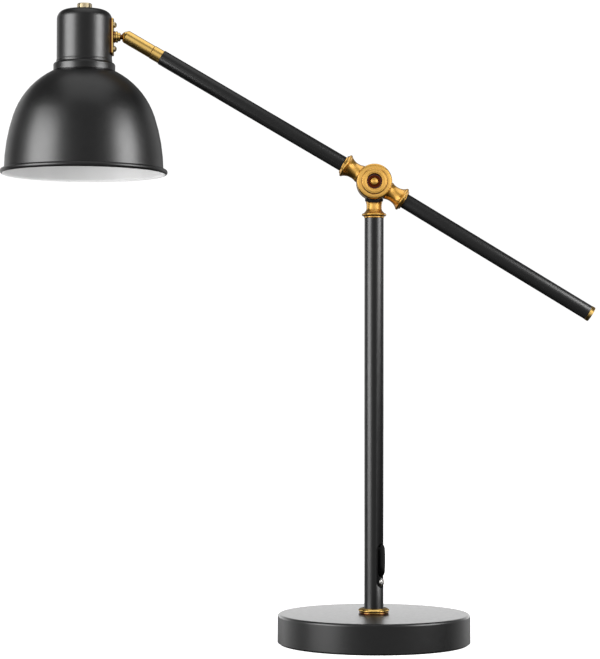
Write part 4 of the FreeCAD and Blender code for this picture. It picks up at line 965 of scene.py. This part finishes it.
# --- sub-assemblies ---
@dataclass
class WeightedBase:
    """Round cover over the iron weight, and the bushing of its cord inlet."""

    wall: float = 1.2
    corner: float = 2.6
    lower_round: float = 0.35
    inner_round: float = 0.2
    hole: float = 5.1
    inlet_height: float = 8.6
    inlet: float = 4.8
    drill_reach: float = 4.0
    bush: Profile = ((3.4, -2.6, 0.3), (4.7, -2.6, 0.3), (4.7, -0.4), (6.5, -0.4, 0.2), (6.5, 1.6, 0.7),
                     (3.4, 1.6, 0.7))

    def inlet_pin(self) -> Spindle:
        """Returns the axis of the cord inlet."""
        return Spindle((0.0, span("base_cover")[1].x, self.inlet_height), (0.0, 1.0, 0.0))

    def cover(self) -> None:
        """Makes the spun steel cover with its inlet hole."""
        low, high = span("base_cover")
        outer = high.x
        inner = outer - self.wall
        roof = high.z - self.wall
        steps = raised(((inner, low.z, self.inner_round), (outer, low.z, self.lower_round),
                        (outer, high.z, self.corner), (self.hole, high.z), (self.hole, roof),
                        (inner, roof, self.corner - self.wall)))
        drill = turned_mesh("drill", rod(self.inlet, self.drill_reach), self.inlet_pin(), SMALL, False)
        mesh = combined(turned_mesh("cover", steps, UPRIGHT, FINE), drill)
        piece = Dress("weighted_base_cover", "base_cover", Body.STAND, Slot.PAINT, (COAT,)).put_on(mesh)
        pieces_lit(Group.BASE).objects.link(piece)

    def bushing(self) -> None:
        """Makes the rubber bushing of the cord inlet."""
        Dress("cord_inlet_bushing", "inlet_bushing", Body.STAND, Slot.RUBBER, (RUBBER,),
              self.inlet_pin(), around=SMALL).turn(raised(self.bush))

    def build(self) -> None:
        """Makes the base's pieces."""
        self.cover()
        self.bushing()


@dataclass
class Pole:
    """Foot ring, painted pole with its switch slot, and the collar under the hub."""

    ring: Profile = ((9.62, 0), (14.7, 0, 0.3), (14.7, 1.7, 0.45), (14.1, 1.9), (14.1, 2.2),
                     (14.95, 2.5), (14.8, 4.2, 0, -0.35), (11.8, 5.7, 0, -0.35), (9.62, 5.8))
    wall: float = 1.2
    edge: float = 0.3
    slot_edge: float = 0.22
    slot_width: float = 12.6
    slot_length: float = 44.8
    slot_height: float = 77.1
    slot_depth: float = 12.0
    slot_sides: int = 24                # faces round each end of the slot
    collar_bore: float = 5.0
    collar_top: float = 8.9
    neck: Profile = ((9.9, 0, 0.2), (9.9, 1.1), (11.5, 1.9, 0, 0.25), (11.3, 4.4, 0, -0.75),
                     (9.6, 5.6, 0, 0.3), (7.6, 10.6, 0, 0.75), (8.9, 17.6, 0, 0.5))
    saddle: float = 20.6
    saddle_reach: float = 20.0

    def foot_ring(self) -> None:
        """Makes the polished ring at the pole's foot: a low lip, a fine groove and a rounded belly."""
        steps = raised(self.ring, span("foot_ring")[0].z)
        Dress("pole_foot_ring", "foot_ring", Body.STAND, Slot.POLISHED, (POLISHED,),
              beside=("pole_tube", "base_cover"), reach=3.0).turn(steps)

    def slot_cutter(self) -> Mesh:
        """Makes the prism with round ends that cuts the switch slot out of the pole's wall.

        Returns:
            The prism's mesh.
        """
        radius = self.slot_width / 2
        reach = self.slot_length / 2 - radius
        out = Vector(SWITCH_WAY)
        across = Vector((-out.y, out.x, 0))
        work = bmesh.new()
        rings = [[], []]
        for end in (1, -1):
            for index in range(self.slot_sides + 1):
                turn = math.pi * index / self.slot_sides + (0 if end > 0 else math.pi)
                up = self.slot_height + (end * reach + radius * math.sin(turn))
                point = across * (radius * math.cos(turn)) + Vector((0, 0, up))
                rings[0].append(work.verts.new(point * MM))
                rings[1].append(work.verts.new((point + out * self.slot_depth) * MM))
        count = len(rings[0])
        for index in range(count):
            following = (index + 1) % count
            work.faces.new([rings[0][index], rings[0][following], rings[1][following], rings[1][index]])
        work.faces.new(rings[0])
        work.faces.new(rings[1])
        return mesh_of(work, "slot")

    def tube(self) -> None:
        """Makes the pole with the rounded edge of its switch slot."""
        low, high = span("pole_tube")
        outer = high.y
        inner = outer - self.wall
        steps = raised(((inner, low.z), (outer, low.z, self.edge), (outer, high.z, self.edge),
                        (inner, high.z)))
        mesh = softened(combined(turned_mesh("pole", steps), self.slot_cutter()), self.slot_edge, 2)
        Dress("painted_pole", "pole_tube", Body.STAND, Slot.PAINT, (COAT,)).put_on(mesh)

    def collar(self) -> None:
        """Makes the turned collar: lip, bead, long cove and flared top, hollowed for the hub."""
        low = span("pole_collar")[0].z
        top = HUB[2]
        steps = [Step(self.collar_bore, low), *raised(self.neck, low), Step(self.collar_top, top),
                 Step(self.collar_bore, top)]
        saddle = turned_mesh("saddle", rod(self.saddle, self.saddle_reach), HUB_PIN, FINE, False)
        mesh = combined(turned_mesh("collar", steps), saddle)
        Dress("pole_top_collar", "pole_collar", Body.STAND, Slot.SATIN, (SATIN,),
              beside=("saddle_liner", "hub_body"), reach=6.0).put_on(mesh)

    def build(self) -> None:
        """Makes the pole's pieces."""
        self.foot_ring()
        self.tube()
        self.collar()


@dataclass
class RockerSwitch:
    """Switch in the pole: its housing and rocker."""

    housing_round: float = 0.25
    rocker_round: float = 0.5

    def build(self) -> None:
        """Makes the housing and the rocker with rounded edges."""
        for node, body, width, finish in (("switch_housing", Body.STAND, self.housing_round, PLASTIC),
                                          ("switch_rocker", Body.ROCKER, self.rocker_round, GLOSSY)):
            mesh = softened(solid_copy(node), width)
            Dress(node + "_moulding", node, body, Slot.PLASTIC, (finish,)).put_on(mesh)


@dataclass
class PivotHub:
    """Round hub with its raised face ring, recess and button, and the two arm sockets."""

    face: Profile = ((2.6, 8.0), (4.3, 8.0), (5.3, 8.0), (6.5, 8.0), (7.2, 8.0), (7.5, 8.3), (7.5, 10.2),
                     (7.5, 12.6), (8.4, 13.4, 0, 0.3), (11.4, 13.4, 0, 0.28), (12.8, 12.0, 0, 0.45),
                     (16.0, 11.65, 0, 0.12), (17.6, 9.4, 0, 0.55))
    socket: Profile = ((0, 9.0), (8.4, 9.0), (8.8, 15.1), (8.8, 17.7, 0, -0.3), (7.95, 21.6, 0, 0.22),
                       (11.0, 31.0, 0, 1.0), (11.2, 33.6, 0, -0.75), (9.2, 35.4, 0, 0.35), (7.65, 35.4),
                       (7.65, 32.4), (0, 32.4))
    bolt: Profile = ((0, -13.1), (2.0, -13.1), (2.5, -12.6), (2.5, 8.9), (4.1, 8.9, 0.2), (4.1, 10.2),
                     (2.5, 11.8, 0, -0.35), (0, 12.3, 0, -0.12))
    bolt_hole: float = 2.6
    head: float = 4.1
    recess_floor: float = 8.0           # from the hub's middle
    washer: float = 0.9
    washer_rounds: tuple[float, float] = (0.12, 0.25)
    washer_strip: float = 1.1           # width of the washer's outer face
    head_room: float = 0.1              # between the bolt's head and that face's inner edge

    def casting(self) -> None:
        """Makes the hub's barrel and sockets as one casting."""
        front = raised(self.face)
        sags = [step.sag for step in front[1:]] + [0.0]
        back = [Step(step.radius, -step.height, 0.0, sag) for step, sag in zip(front, sags)]
        mesh = turned_mesh("barrel", front + back[::-1], HUB_PIN, FINE)
        for spindle in (FRONT_ARM, REAR_ARM):
            socket = turned_mesh("socket", raised(self.socket), spindle, MEDIUM, False)
            mesh = combined(mesh, socket, Join.UNITE)
        Dress("pivot_hub", "hub_body", Body.ARM, Slot.SATIN, (SATIN,), HUB_PIN,
              beside=("hub_bolt", "front_arm_tube", "rear_arm_tube"), reach=10.0).put_on(mesh)

    def button(self) -> None:
        """Makes the bolt with its rounded head in the front recess."""
        Dress("hub_bolt_button", "hub_bolt", Body.ARM, Slot.SATIN, (SATIN,), HUB_PIN, around=SMALL,
              beside=("hub_body",), reach=3.0).turn(raised(self.bolt), False)

    def washers(self) -> None:
        """Makes the two washers on the floors of the recesses."""
        low, high = span("hub_washers")
        rim = (high.x - low.x) / 2
        half = self.washer / 2
        place = self.recess_floor + half
        under, over = self.washer_rounds
        steps = raised(((self.bolt_hole, -half), (rim, -half, under), (rim, half, over),
                        (rim - self.washer_strip, half), (self.head + self.head_room, half),
                        (self.bolt_hole, half)))
        dress = Dress("hub_washer_pair", "hub_washers", Body.ARM, Slot.SATIN, (AGED,), HUB_PIN,
                      beside=("hub_body", "hub_bolt", "hub_nut"), reach=10.0)
        ROWS.put_on(dress, turned_mesh("washer", steps, UPRIGHT, SMALL), 2,
                    Vector(HUB) - Vector((0, place, 0)), Vector((0, 2 * place, 0)),
                    Vector((math.pi / 2, 0, 0)), Vector((math.pi, 0, 0)))

    def build(self) -> None:
        """Makes the hub's pieces."""
        self.casting()
        self.button()
        self.washers()


@dataclass
class BalanceArm:
    """Front and rear arm tubes and the brass cap on the rear end."""

    start: float = 17.6                 # from the hub's middle, as the two ends are
    front_end: float = 245.0
    rear_end: float = 248.4
    radius: float = 7.55
    wall: float = 1.0
    edge: float = 0.3
    cap: Profile = ((0, -6.0), (6.4, -6.0), (6.4, 0), (7.75, 0, 0.15), (7.75, 3.8, 0.7), (0, 3.8))

    def tube(self, name: str, spindle: Spindle, end: float) -> None:
        """Makes one painted tube on its spindle.

        Args:
            name: the tube's name, to which its solid adds _tube.
            spindle: its axis.
            end: where it ends.
        """
        mesh = TUBES.mesh(name, Length=(end - self.start) * MM, Radius=self.radius * MM,
                          Wall=self.wall * MM, Edge=self.edge * MM, Sides=MEDIUM,
                          Material=PAINTS.material(COAT, spindle))
        Dress(name, name + "_tube", Body.ARM, Slot.PAINT, (COAT,), spindle, FINE_CREASE).put_on(
            placed(mesh, spindle, (self.start + end) / 2))

    def build(self) -> None:
        """Makes the arm's pieces."""
        self.tube("front_arm", FRONT_ARM, self.front_end)
        self.tube("rear_arm", REAR_ARM, self.rear_end)
        Dress("rear_end_plug", "rear_end_cap", Body.ARM, Slot.POLISHED, (POLISHED,), REAR_ARM,
              around=SMALL).turn(raised(self.cap, self.rear_end), False)


@dataclass
class BallSwivel:
    """Brass adapter and sleeve on the arm's front end, the ball stud and its bracket on the shade."""

    tube_end: float = 245.0             # from the hub's middle
    sleeve_low: float = 255.6
    adapter: Profile = ((1.6, -10.0), (6.45, -10.0), (6.45, 0), (6.9, 0, 0.2), (6.9, 10.3, 0.12),
                        (6.1, 10.3), (6.1, 10.6), (5.0, 10.6), (5.0, 24.6), (1.6, 24.6))
    sleeve: Profile = ((5.0, 0), (6.1, 0), (6.1, 0.25), (6.6, 0.25, 0.12), (6.6, 29.8, 0.4),
                       (5.7178269, 31.3, 0.12), (5.2678269, 31.3), (5.6, 29.4, 0, -0.32), (5.6, 14.0),
                       (5.0, 14.0))
    ball: float = 5.4
    bore: float = 1.6
    neck: float = 2.5
    stem: Profile = ((2.5, 5.9), (4.0, 6.4, 0, 0.2), (4.3, 6.8), (4.3, 9.0), (5.55, 9.0, 0.25),
                     (5.75, 10.7, 0.2), (4.95, 10.9), (4.95, 11.3), (5.75, 11.5, 0.2), (5.75, 13.2, 0.2),
                     (3.5, 13.2), (3.5, 19.7), (1.6, 19.7))
    plate_round: float = 0.3

    def adapter_and_sleeve(self) -> None:
        """Makes the two brass pieces with the fine seam between them."""
        Dress("swivel_adapter_turned", "swivel_adapter", Body.ARM, Slot.POLISHED, (POLISHED,), FRONT_ARM,
              around=SMALL, beside=("ball_sleeve",), reach=2.0).turn(raised(self.adapter, self.tube_end))
        Dress("ball_sleeve_turned", "ball_sleeve", Body.ARM, Slot.POLISHED, (POLISHED,), FRONT_ARM,
              beside=("swivel_adapter",), reach=2.0).turn(raised(self.sleeve, self.sleeve_low))

    def sag(self, rise: float, run: float) -> float:
        """Returns the sag of the ball's arc over a chord of that rise and run."""
        half = math.hypot(rise, run) / 2
        return self.ball - math.sqrt(self.ball ** 2 - half ** 2)

    def stud(self) -> None:
        """Makes the ball with its neck, stem and grooved boss in one turned piece."""
        contact = math.sqrt(self.ball ** 2 - self.neck ** 2)
        front = math.sqrt(self.ball ** 2 - self.bore ** 2)
        steps = [Step(self.bore, -front),
                 Step(self.ball, 0, 0.0, -self.sag(front, self.ball - self.bore)),
                 Step(self.neck, contact, 0.0, -self.sag(contact, self.ball - self.neck)),
                 *raised(self.stem)]
        Dress("ball_stud_turned", "ball_stud", Body.HEAD, Slot.POLISHED, (POLISHED,), STUD_PIN,
              beside=("ball_sleeve", "bracket_plate"), reach=4.0).turn(steps)

    def plate(self) -> None:
        """Makes the bracket plate from its solid, with rounded edges."""
        mesh = softened(solid_copy("bracket_plate"), self.plate_round)
        Dress("bracket_plate_brass", "bracket_plate", Body.HEAD, Slot.POLISHED, (POLISHED,), STUD_PIN,
              beside=("shade_cap",), reach=4.0).put_on(mesh)

    def build(self) -> None:
        """Makes the swivel's pieces."""
        self.adapter_and_sleeve()
        self.stud()
        self.plate()


@dataclass(frozen=True)
class CrossScrew:
    """Cross-head screw about Z, its head on z = 0."""

    head: float
    rise: float
    reach: float
    shank: float = 1.5
    point: float = 0.3
    edge_rounds: tuple[float, float] = (0.15, 0.35)
    edge: float = 0.42                  # share of the head's rise, as the next three are
    crown: float = 0.95
    slot_rise: float = 1.02
    slot_depth: float = 0.9
    crown_radius: float = 0.45          # share of the head's radius, as the next three are
    crown_sag: float = 0.08
    slot_length: float = 1.25
    slot_width: float = 0.27

    def mesh(self) -> Mesh:
        """Makes the screw.

        Returns:
            Its mesh, in metres.
        """
        head, rise, shank, reach = self.head, self.rise, self.shank, self.reach
        low_round, high_round = self.edge_rounds
        mesh = turned_mesh("screw", raised((
            (0, -reach), (shank - self.point, -reach), (shank, self.point - reach), (shank, 0),
            (head, 0, low_round), (head, rise * self.edge, high_round),
            (head * self.crown_radius, rise * self.crown, 0, -head * self.crown_sag), (0, rise))),
            UPRIGHT, SMALL, False)
        for turn in (0.0, math.pi / 2):
            blade = bmesh.new()
            bmesh.ops.create_cube(blade, size=1.0)
            size = Matrix.Diagonal((head * self.slot_length, head * self.slot_width,
                                    rise * self.slot_depth, 1.0))
            place = Matrix.Translation((0, 0, rise * self.slot_rise)) @ Matrix.Rotation(turn, 4, "Z")
            blade.transform(Matrix.Scale(MM, 4) @ place @ size)
            mesh = combined(mesh, mesh_of(blade, "blade"))
        return mesh


@dataclass
class Fasteners:
    """Cross-head screws of the bracket and the switch, set in rows by one tree."""

    bracket_screw: CrossScrew = CrossScrew(2.95, 3.1, 6.0)
    switch_screw: CrossScrew = CrossScrew(3.7, 2.4, 6.1)
    spacing: float = 23.9
    plate_at: float = 13.2
    bracket_turn: float = 0.5
    switch_seat: float = 8.7            # from the pole's axis

    def build(self) -> None:
        """Makes the bracket's two screws and the switch's one."""
        lowest = Vector(BALL) + Vector((-self.plate_at, 0, -self.spacing / 2))
        pair = Dress("bracket_screw_pair", "bracket_screws", Body.HEAD, Slot.SCREW, (PALE,), STUD_PIN)
        ROWS.put_on(pair, self.bracket_screw.mesh(), 2, lowest, Vector((0, 0, self.spacing)),
                    Vector((self.bracket_turn, math.pi / 2, 0)))
        low, high = span("switch_screw")
        seat = Vector(SWITCH_WAY) * self.switch_seat + Vector((0, 0, (low.z + high.z) / 2))
        pin = Spindle(tuple(seat), SWITCH_WAY)
        single = Dress("switch_screw_bright", "switch_screw", Body.STAND, Slot.SCREW, (BRIGHT,), pin)
        ROWS.put_on(single, self.switch_screw.mesh(), 1, seat, Vector((0, 0, 1)),
                    Vector((0.0, math.pi / 2, SWITCH_BEARING)))


@dataclass
class Shade:
    """Knob, cap, ring and dome of the shade."""

    wall: float = 1.0
    hole: float = 4.9
    cap_corner: float = 9.5
    cap_flare: float = 0.35
    cap_foot: float = 2.6               # height over which the flare runs out
    foot_sag: float = 0.12
    lip: float = 0.9
    lip_round: float = 0.3
    ring_bore: float = 25.5
    ring_foot: Profile = ((25.5, 0), (29.7, 0), (29.7, 0.8), (30.6, 1.1, 0.25), (30.6, 5.6))
    ring_head: Profile = ((28.4, -1.5, 0, -0.9), (27.5, -1.1, 0.1), (27.5, 0), (25.5, 0))
    neck: float = 33.0
    shoulder_radius: float = 77.0
    side_radius: float = 177.0
    side_sweep: float = math.radians(18.1)
    rim: float = 78.8
    bead: float = 2.55
    white_lip: float = math.radians(102.0)
    paint_gap: float = 0.01             # between the rolled rim and the white side
    knob_foot: Profile = ((0, 0), (6.9, 0, 0.2), (6.9, 1.0), (7.4, 1.4, 0.2))
    knob_head: Profile = ((7.4, -0.8, 0.15), (6.6, 0, 0.15), (0, 0))

    def dress(self, name: str, node: str, *finishes: Finish) -> Dress:
        """Returns the dress of a large piece of the shade."""
        return Dress(name, node, Body.HEAD, Slot.PAINT, finishes, SHADE_PIN, around=FINE)

    def cap(self) -> None:
        """Makes the tall rounded cap, black outside and white inside."""
        low, high = span("shade_cap")
        outer = (high.x - low.x) / 2
        flare = outer + self.cap_flare
        inner = outer - self.wall
        roof = high.z - self.wall
        steps = raised(((inner, low.z), (flare, low.z, self.lip_round),
                        (flare, low.z + self.lip, self.lip_round),
                        (outer, low.z + self.cap_foot, 0, self.foot_sag),
                        (outer, high.z, self.cap_corner), (self.hole, high.z), (self.hole, roof),
                        (inner, roof, self.cap_corner - self.wall, 0, Side.INNER)))
        self.dress("shade_cap_spun", "shade_cap", COAT, ENAMEL).turn(steps)

    def ring(self) -> None:
        """Makes the stepped ring between cap and dome."""
        low, high = span("shade_ring")
        steps = raised(self.ring_foot, low.z) + raised(self.ring_head, high.z)
        self.dress("shade_ring_turned", "shade_ring", COAT).turn(steps)

    def dome(self) -> None:
        """Makes the spun dome: long side arc, tangent shoulder arc and rolled rim, white inside."""
        neck_height = span("shade_dome")[1].z
        side_x = self.rim - self.side_radius
        shift = self.side_radius - self.shoulder_radius
        shoulder_x = side_x + shift * math.cos(self.side_sweep)
        shoulder_z = neck_height - math.sqrt(self.shoulder_radius ** 2 - (self.neck - shoulder_x) ** 2)
        side_z = shoulder_z - shift * math.sin(self.side_sweep)
        neck_turn = math.acos((self.neck - shoulder_x) / self.shoulder_radius)
        small = self.shoulder_radius - self.wall
        inner_side = self.side_radius - self.wall
        floor = neck_height - self.wall
        inner_turn = math.asin((floor - shoulder_z) / small)
        bead_x = self.rim - self.wall + self.bead
        meet_z = side_z + math.sqrt(self.bead ** 2 - (bead_x - self.rim) ** 2)
        meet_turn = math.asin((meet_z - side_z) / self.side_radius)
        meet_x = side_x + self.side_radius * math.cos(meet_turn)

        def at(x: float, z: float, radius: float, turn: float) -> tuple[float, float]:
            """Returns a point of an arc."""
            return x + radius * math.cos(turn), z + radius * math.sin(turn)

        def bow(radius: float, sweep: float) -> float:
            """Returns the sag of an arc."""
            return radius * (1 - math.cos(sweep / 2))

        lip = at(bead_x, side_z, self.bead, math.pi + self.white_lip)
        chord = math.hypot(meet_x - lip[0], meet_z - lip[1])
        bead_sag = self.bead + math.sqrt(self.bead ** 2 - (chord / 2) ** 2)
        steps = [
            Step(bead_x - self.bead, side_z),
            Step(*lip, 0.0, -bow(self.bead, self.white_lip), Side.INNER),
            Step(meet_x, meet_z, 0.0, -bead_sag),
            Step(*at(side_x, side_z, self.side_radius, self.side_sweep), 0.0,
                 -bow(self.side_radius, self.side_sweep - meet_turn)),
            Step(self.neck, neck_height, 0.0, -bow(self.shoulder_radius, neck_turn - self.side_sweep)),
            Step(self.ring_bore, neck_height),
            Step(self.ring_bore, floor),
            Step(*at(shoulder_x, shoulder_z, small, inner_turn), coat=Side.INNER),
            Step(*at(side_x, side_z, inner_side, self.side_sweep), 0.0,
                 bow(small, inner_turn - self.side_sweep), Side.INNER),
            Step(bead_x - self.bead, side_z + self.paint_gap, 0.0,
                 bow(inner_side, self.side_sweep), Side.INNER),
        ]
        self.dress("shade_dome_spun", "shade_dome", COAT, ENAMEL).turn(steps)

    def top_knob(self) -> None:
        """Makes the bright knob on the cap."""
        low, high = span("top_knob")
        steps = raised(self.knob_foot, low.z) + raised(self.knob_head, high.z)
        Dress("shade_top_knob", "top_knob", Body.HEAD, Slot.POLISHED, (PALE,),
              SHADE_PIN).turn(steps, False)

    def build(self) -> None:
        """Makes the shade's pieces."""
        self.cap()
        self.ring()
        self.dome()
        self.top_knob()


# --- studio ---
LAMP_MIDDLE = Vector((-0.15, 0.0, 0.35))
AIM_SHARE = 0.6                     # share of its own height in the height that a softbox aims at


@dataclass(frozen=True)
class Panel:
    """Rectangular area light over or under the lamp, which shines on one group of its pieces."""

    name: str
    group: Group
    glow: float                         # brightness of its face
    size: tuple[float, float]           # in metres, as all of the studio is
    offset: Point = (0.0, 0.0, 0.0)     # from the lamp's middle

    def stand(self) -> tuple[Vector, Vector]:
        """Returns where it stands and where it aims."""
        return LAMP_MIDDLE + Vector(self.offset), LAMP_MIDDLE

    def build(self) -> None:
        """Adds the light."""
        place, aim = self.stand()
        data = bpy.data.lights.new(self.name, "AREA")
        data.shape = "RECTANGLE"
        data.size, data.size_y = self.size
        data.energy = self.glow * math.pi * self.size[0] * self.size[1]
        light = bpy.data.objects.new(self.name, data)
        light.location = place
        light.rotation_euler = (aim - place).to_track_quat("-Z", "Y").to_euler()
        light.light_linking.receiver_collection = pieces_lit(self.group)
        bpy.context.scene.collection.objects.link(light)


@dataclass(frozen=True)
class Softbox(Panel):
    """Area light that stands round the lamp."""

    bearing: float = 0.0                # degrees from the camera's side, to the right
    height: float = 0.8
    distance: float = 1.9

    def stand(self) -> tuple[Vector, Vector]:
        """Works out where it stands, and aims it between its own height and the lamp's.

        Returns:
            Where it stands and where it aims.
        """
        turn = math.radians(self.bearing)
        place = LAMP_MIDDLE + Vector((math.sin(turn), -math.cos(turn), 0)) * self.distance
        place.z = self.height
        aim = self.height * AIM_SHARE + LAMP_MIDDLE.z * (1 - AIM_SHARE)
        return place, Vector((LAMP_MIDDLE.x, LAMP_MIDDLE.y, aim))


COATED, METAL, BASE = Group.COATED, Group.METAL, Group.BASE
LIGHTS = (
    Softbox("left_softbox", COATED, 10.8, (1.4, 1.6), bearing=-60.0),
    Softbox("right_softbox", COATED, 13.5, (1.1, 1.25), bearing=69.0, height=0.98),
    Softbox("left_rim_box", COATED, 0.8, (1.3, 1.6), bearing=-142.0, height=0.6),
    Softbox("right_rim_box", COATED, 0.45, (1.3, 1.6), bearing=142.0, height=0.6),
    Softbox("low_back_strip", BASE, 2.6, (1.7, 0.3), bearing=180.0, height=0.18, distance=0.8),
    Softbox("left_base_strip", BASE, 0.9, (1.1, 0.7), bearing=-122.0, height=0.0, distance=1.4),
    Softbox("right_base_strip", BASE, 0.5, (1.1, 0.7), bearing=122.0, height=0.0, distance=1.4),
    Panel("top_softbox", COATED, 1.15, (1.6, 1.6), (0.0, -0.2, 1.7)),
    Panel("floor_bounce", COATED, 0.25, (2.4, 2.0), (0.0, -0.4, -1.0)),
    Softbox("left_metal_box", METAL, 1.3, (1.5, 1.5), bearing=-46.0),
    Softbox("right_metal_box", METAL, 1.15, (1.5, 1.5), bearing=46.0),
    Softbox("front_metal_box", METAL, 0.50, (1.8, 1.8), distance=2.6),
    Softbox("left_metal_strip", METAL, 4.2, (0.16, 1.5), bearing=-60.0, distance=1.8),
    Softbox("right_metal_strip", METAL, 2.8, (0.16, 1.5), bearing=62.0, distance=1.8),
    Softbox("left_metal_side", METAL, 0.95, (1.5, 1.3), bearing=-118.0, height=0.45),
    Softbox("right_metal_side", METAL, 0.85, (1.5, 1.3), bearing=118.0, height=0.45),
    Panel("top_metal_box", METAL, 1.2, (1.8, 1.8), (0.2, 0.0, 1.5)),
)


@dataclass
class Studio:
    """Plain pale floor, soft lights, pale surroundings behind the lamp, and the camera."""

    camera_place: Point = (-0.0733, -2.085, 0.2597)
    camera_pitch: float = math.radians(1.374)
    camera_roll: float = 0.0015
    focal_pixels: float = 2106.0
    image_height: float = 659.0
    sensor: float = 24.0
    camera_reach: float = 50.0
    floor_radius: float = 9.0
    floor_sides: int = 96
    floor_cloud: Grain = Grain(3.0)
    floor_roughness: float = 0.7
    floor_tones: tuple[Colour, Colour] = (grey(0.60), grey(0.57))
    floor_glow: Ramp = (0.3, 1.1, 0.8, 1.1)         # distance from the lamp, and emission
    ahead: Ramp = (-0.90, -0.35, 0.40, 0.06)        # way towards the camera, and brightness
    behind: Ramp = (0.20, 0.95, 0.0, 0.12)
    below: Ramp = (-0.85, -0.10, 0.05, 1.0)         # way up, and share of the brightness
    backdrop: float = 1.05

    def camera(self) -> None:
        """Sets the camera where the photograph was taken from."""
        data = bpy.data.cameras.new("camera")
        data.sensor_fit = "VERTICAL"
        data.sensor_height = self.sensor
        data.lens = self.focal_pixels / self.image_height * self.sensor
        data.clip_end = self.camera_reach
        camera = bpy.data.objects.new("camera", data)
        camera.location = self.camera_place
        level = Matrix.Rotation(math.pi / 2 + self.camera_pitch, 3, "X")
        camera.rotation_euler = (level @ Matrix.Rotation(self.camera_roll, 3, "Z")).to_euler()
        bpy.context.scene.collection.objects.link(camera)
        bpy.context.scene.camera = camera

    def floor(self) -> None:
        """Lays the plain pale floor."""
        work = bmesh.new()
        bmesh.ops.create_circle(work, cap_ends=True, segments=self.floor_sides,
                                radius=self.floor_radius)
        mesh = bpy.data.meshes.new("floor")
        work.to_mesh(mesh)
        work.free()
        bench = PaintBench("pale_floor")
        where = bench.place(UPRIGHT)
        far = bench.add("ShaderNodeVectorMath", {0: where}, operation="LENGTH").outputs["Value"]
        tone = bench.mixed(bench.spread(where, self.floor_cloud, 0.0, 1.0), *self.floor_tones)
        bench.shade(Base_Color=tone, Roughness=self.floor_roughness, Emission_Color=WHITE,
                    Emission_Strength=bench.ramp(far, self.floor_glow))
        mesh.materials.append(bench.material)
        floor = scratch_object("floor", mesh)
        floor.visible_glossy = False
        floor.visible_shadow = False
        pieces_lit(Group.COATED).objects.link(floor)

    def surroundings(self) -> None:
        """Sets the white background, with surroundings pale behind the lamp and dim elsewhere."""
        world = bpy.data.worlds.new("studio")
        bpy.context.scene.world = world
        world.use_nodes = True
        world.node_tree.nodes.clear()
        bench = NodeBench(world.node_tree)
        seen_way = bench.add("ShaderNodeTexCoord").outputs["Generated"]
        way = bench.add("ShaderNodeSeparateXYZ", {0: seen_way}).outputs
        level = bench.reckon("ADD", bench.ramp(way["Y"], self.ahead), bench.ramp(way["Y"], self.behind))
        glow = bench.reckon("MULTIPLY", level, bench.ramp(way["Z"], self.below))
        dim = bench.add("ShaderNodeBackground", {"Strength": glow, "Color": WHITE}).outputs[0]
        white = bench.add("ShaderNodeBackground", {"Strength": self.backdrop, "Color": WHITE}).outputs[0]
        seen = bench.add("ShaderNodeLightPath").outputs["Is Camera Ray"]
        mix = bench.add("ShaderNodeMixShader", {"Fac": seen, 1: dim, 2: white}).outputs[0]
        bench.add("ShaderNodeOutputWorld", {"Surface": mix})

    def build(self) -> None:
        """Sets up the studio."""
        bpy.context.scene.view_settings.view_transform = "Standard"
        self.camera()
        for light in LIGHTS:
            light.build()
        self.floor()
        self.surroundings()


def dress_solids() -> None:
    """Gives every solid of the frame the finish of its slot."""
    slots = {part["node"]: Slot(part["material_slot"]) for part in frame["record"]["subparts"]}
    for node, piece in frame["nodes"].items():
        piece.data.materials.clear()
        piece.data.materials.append(PAINTS.material(FINISH_OF_SLOT[slots[node]]))
        light_with_group(piece, slots[node])


def main() -> None:
    """Builds the lamp's looks in order and its studio."""
    logging.basicConfig(level=logging.INFO, format="%(name)s %(message)s")
    Studio().build()
    dress_solids()
    for assembly in (WeightedBase, Pole, RockerSwitch, PivotHub, BalanceArm, BallSwivel, Fasteners,
                     Shade):
        assembly().build()


if __name__ == "__main__":
    main()
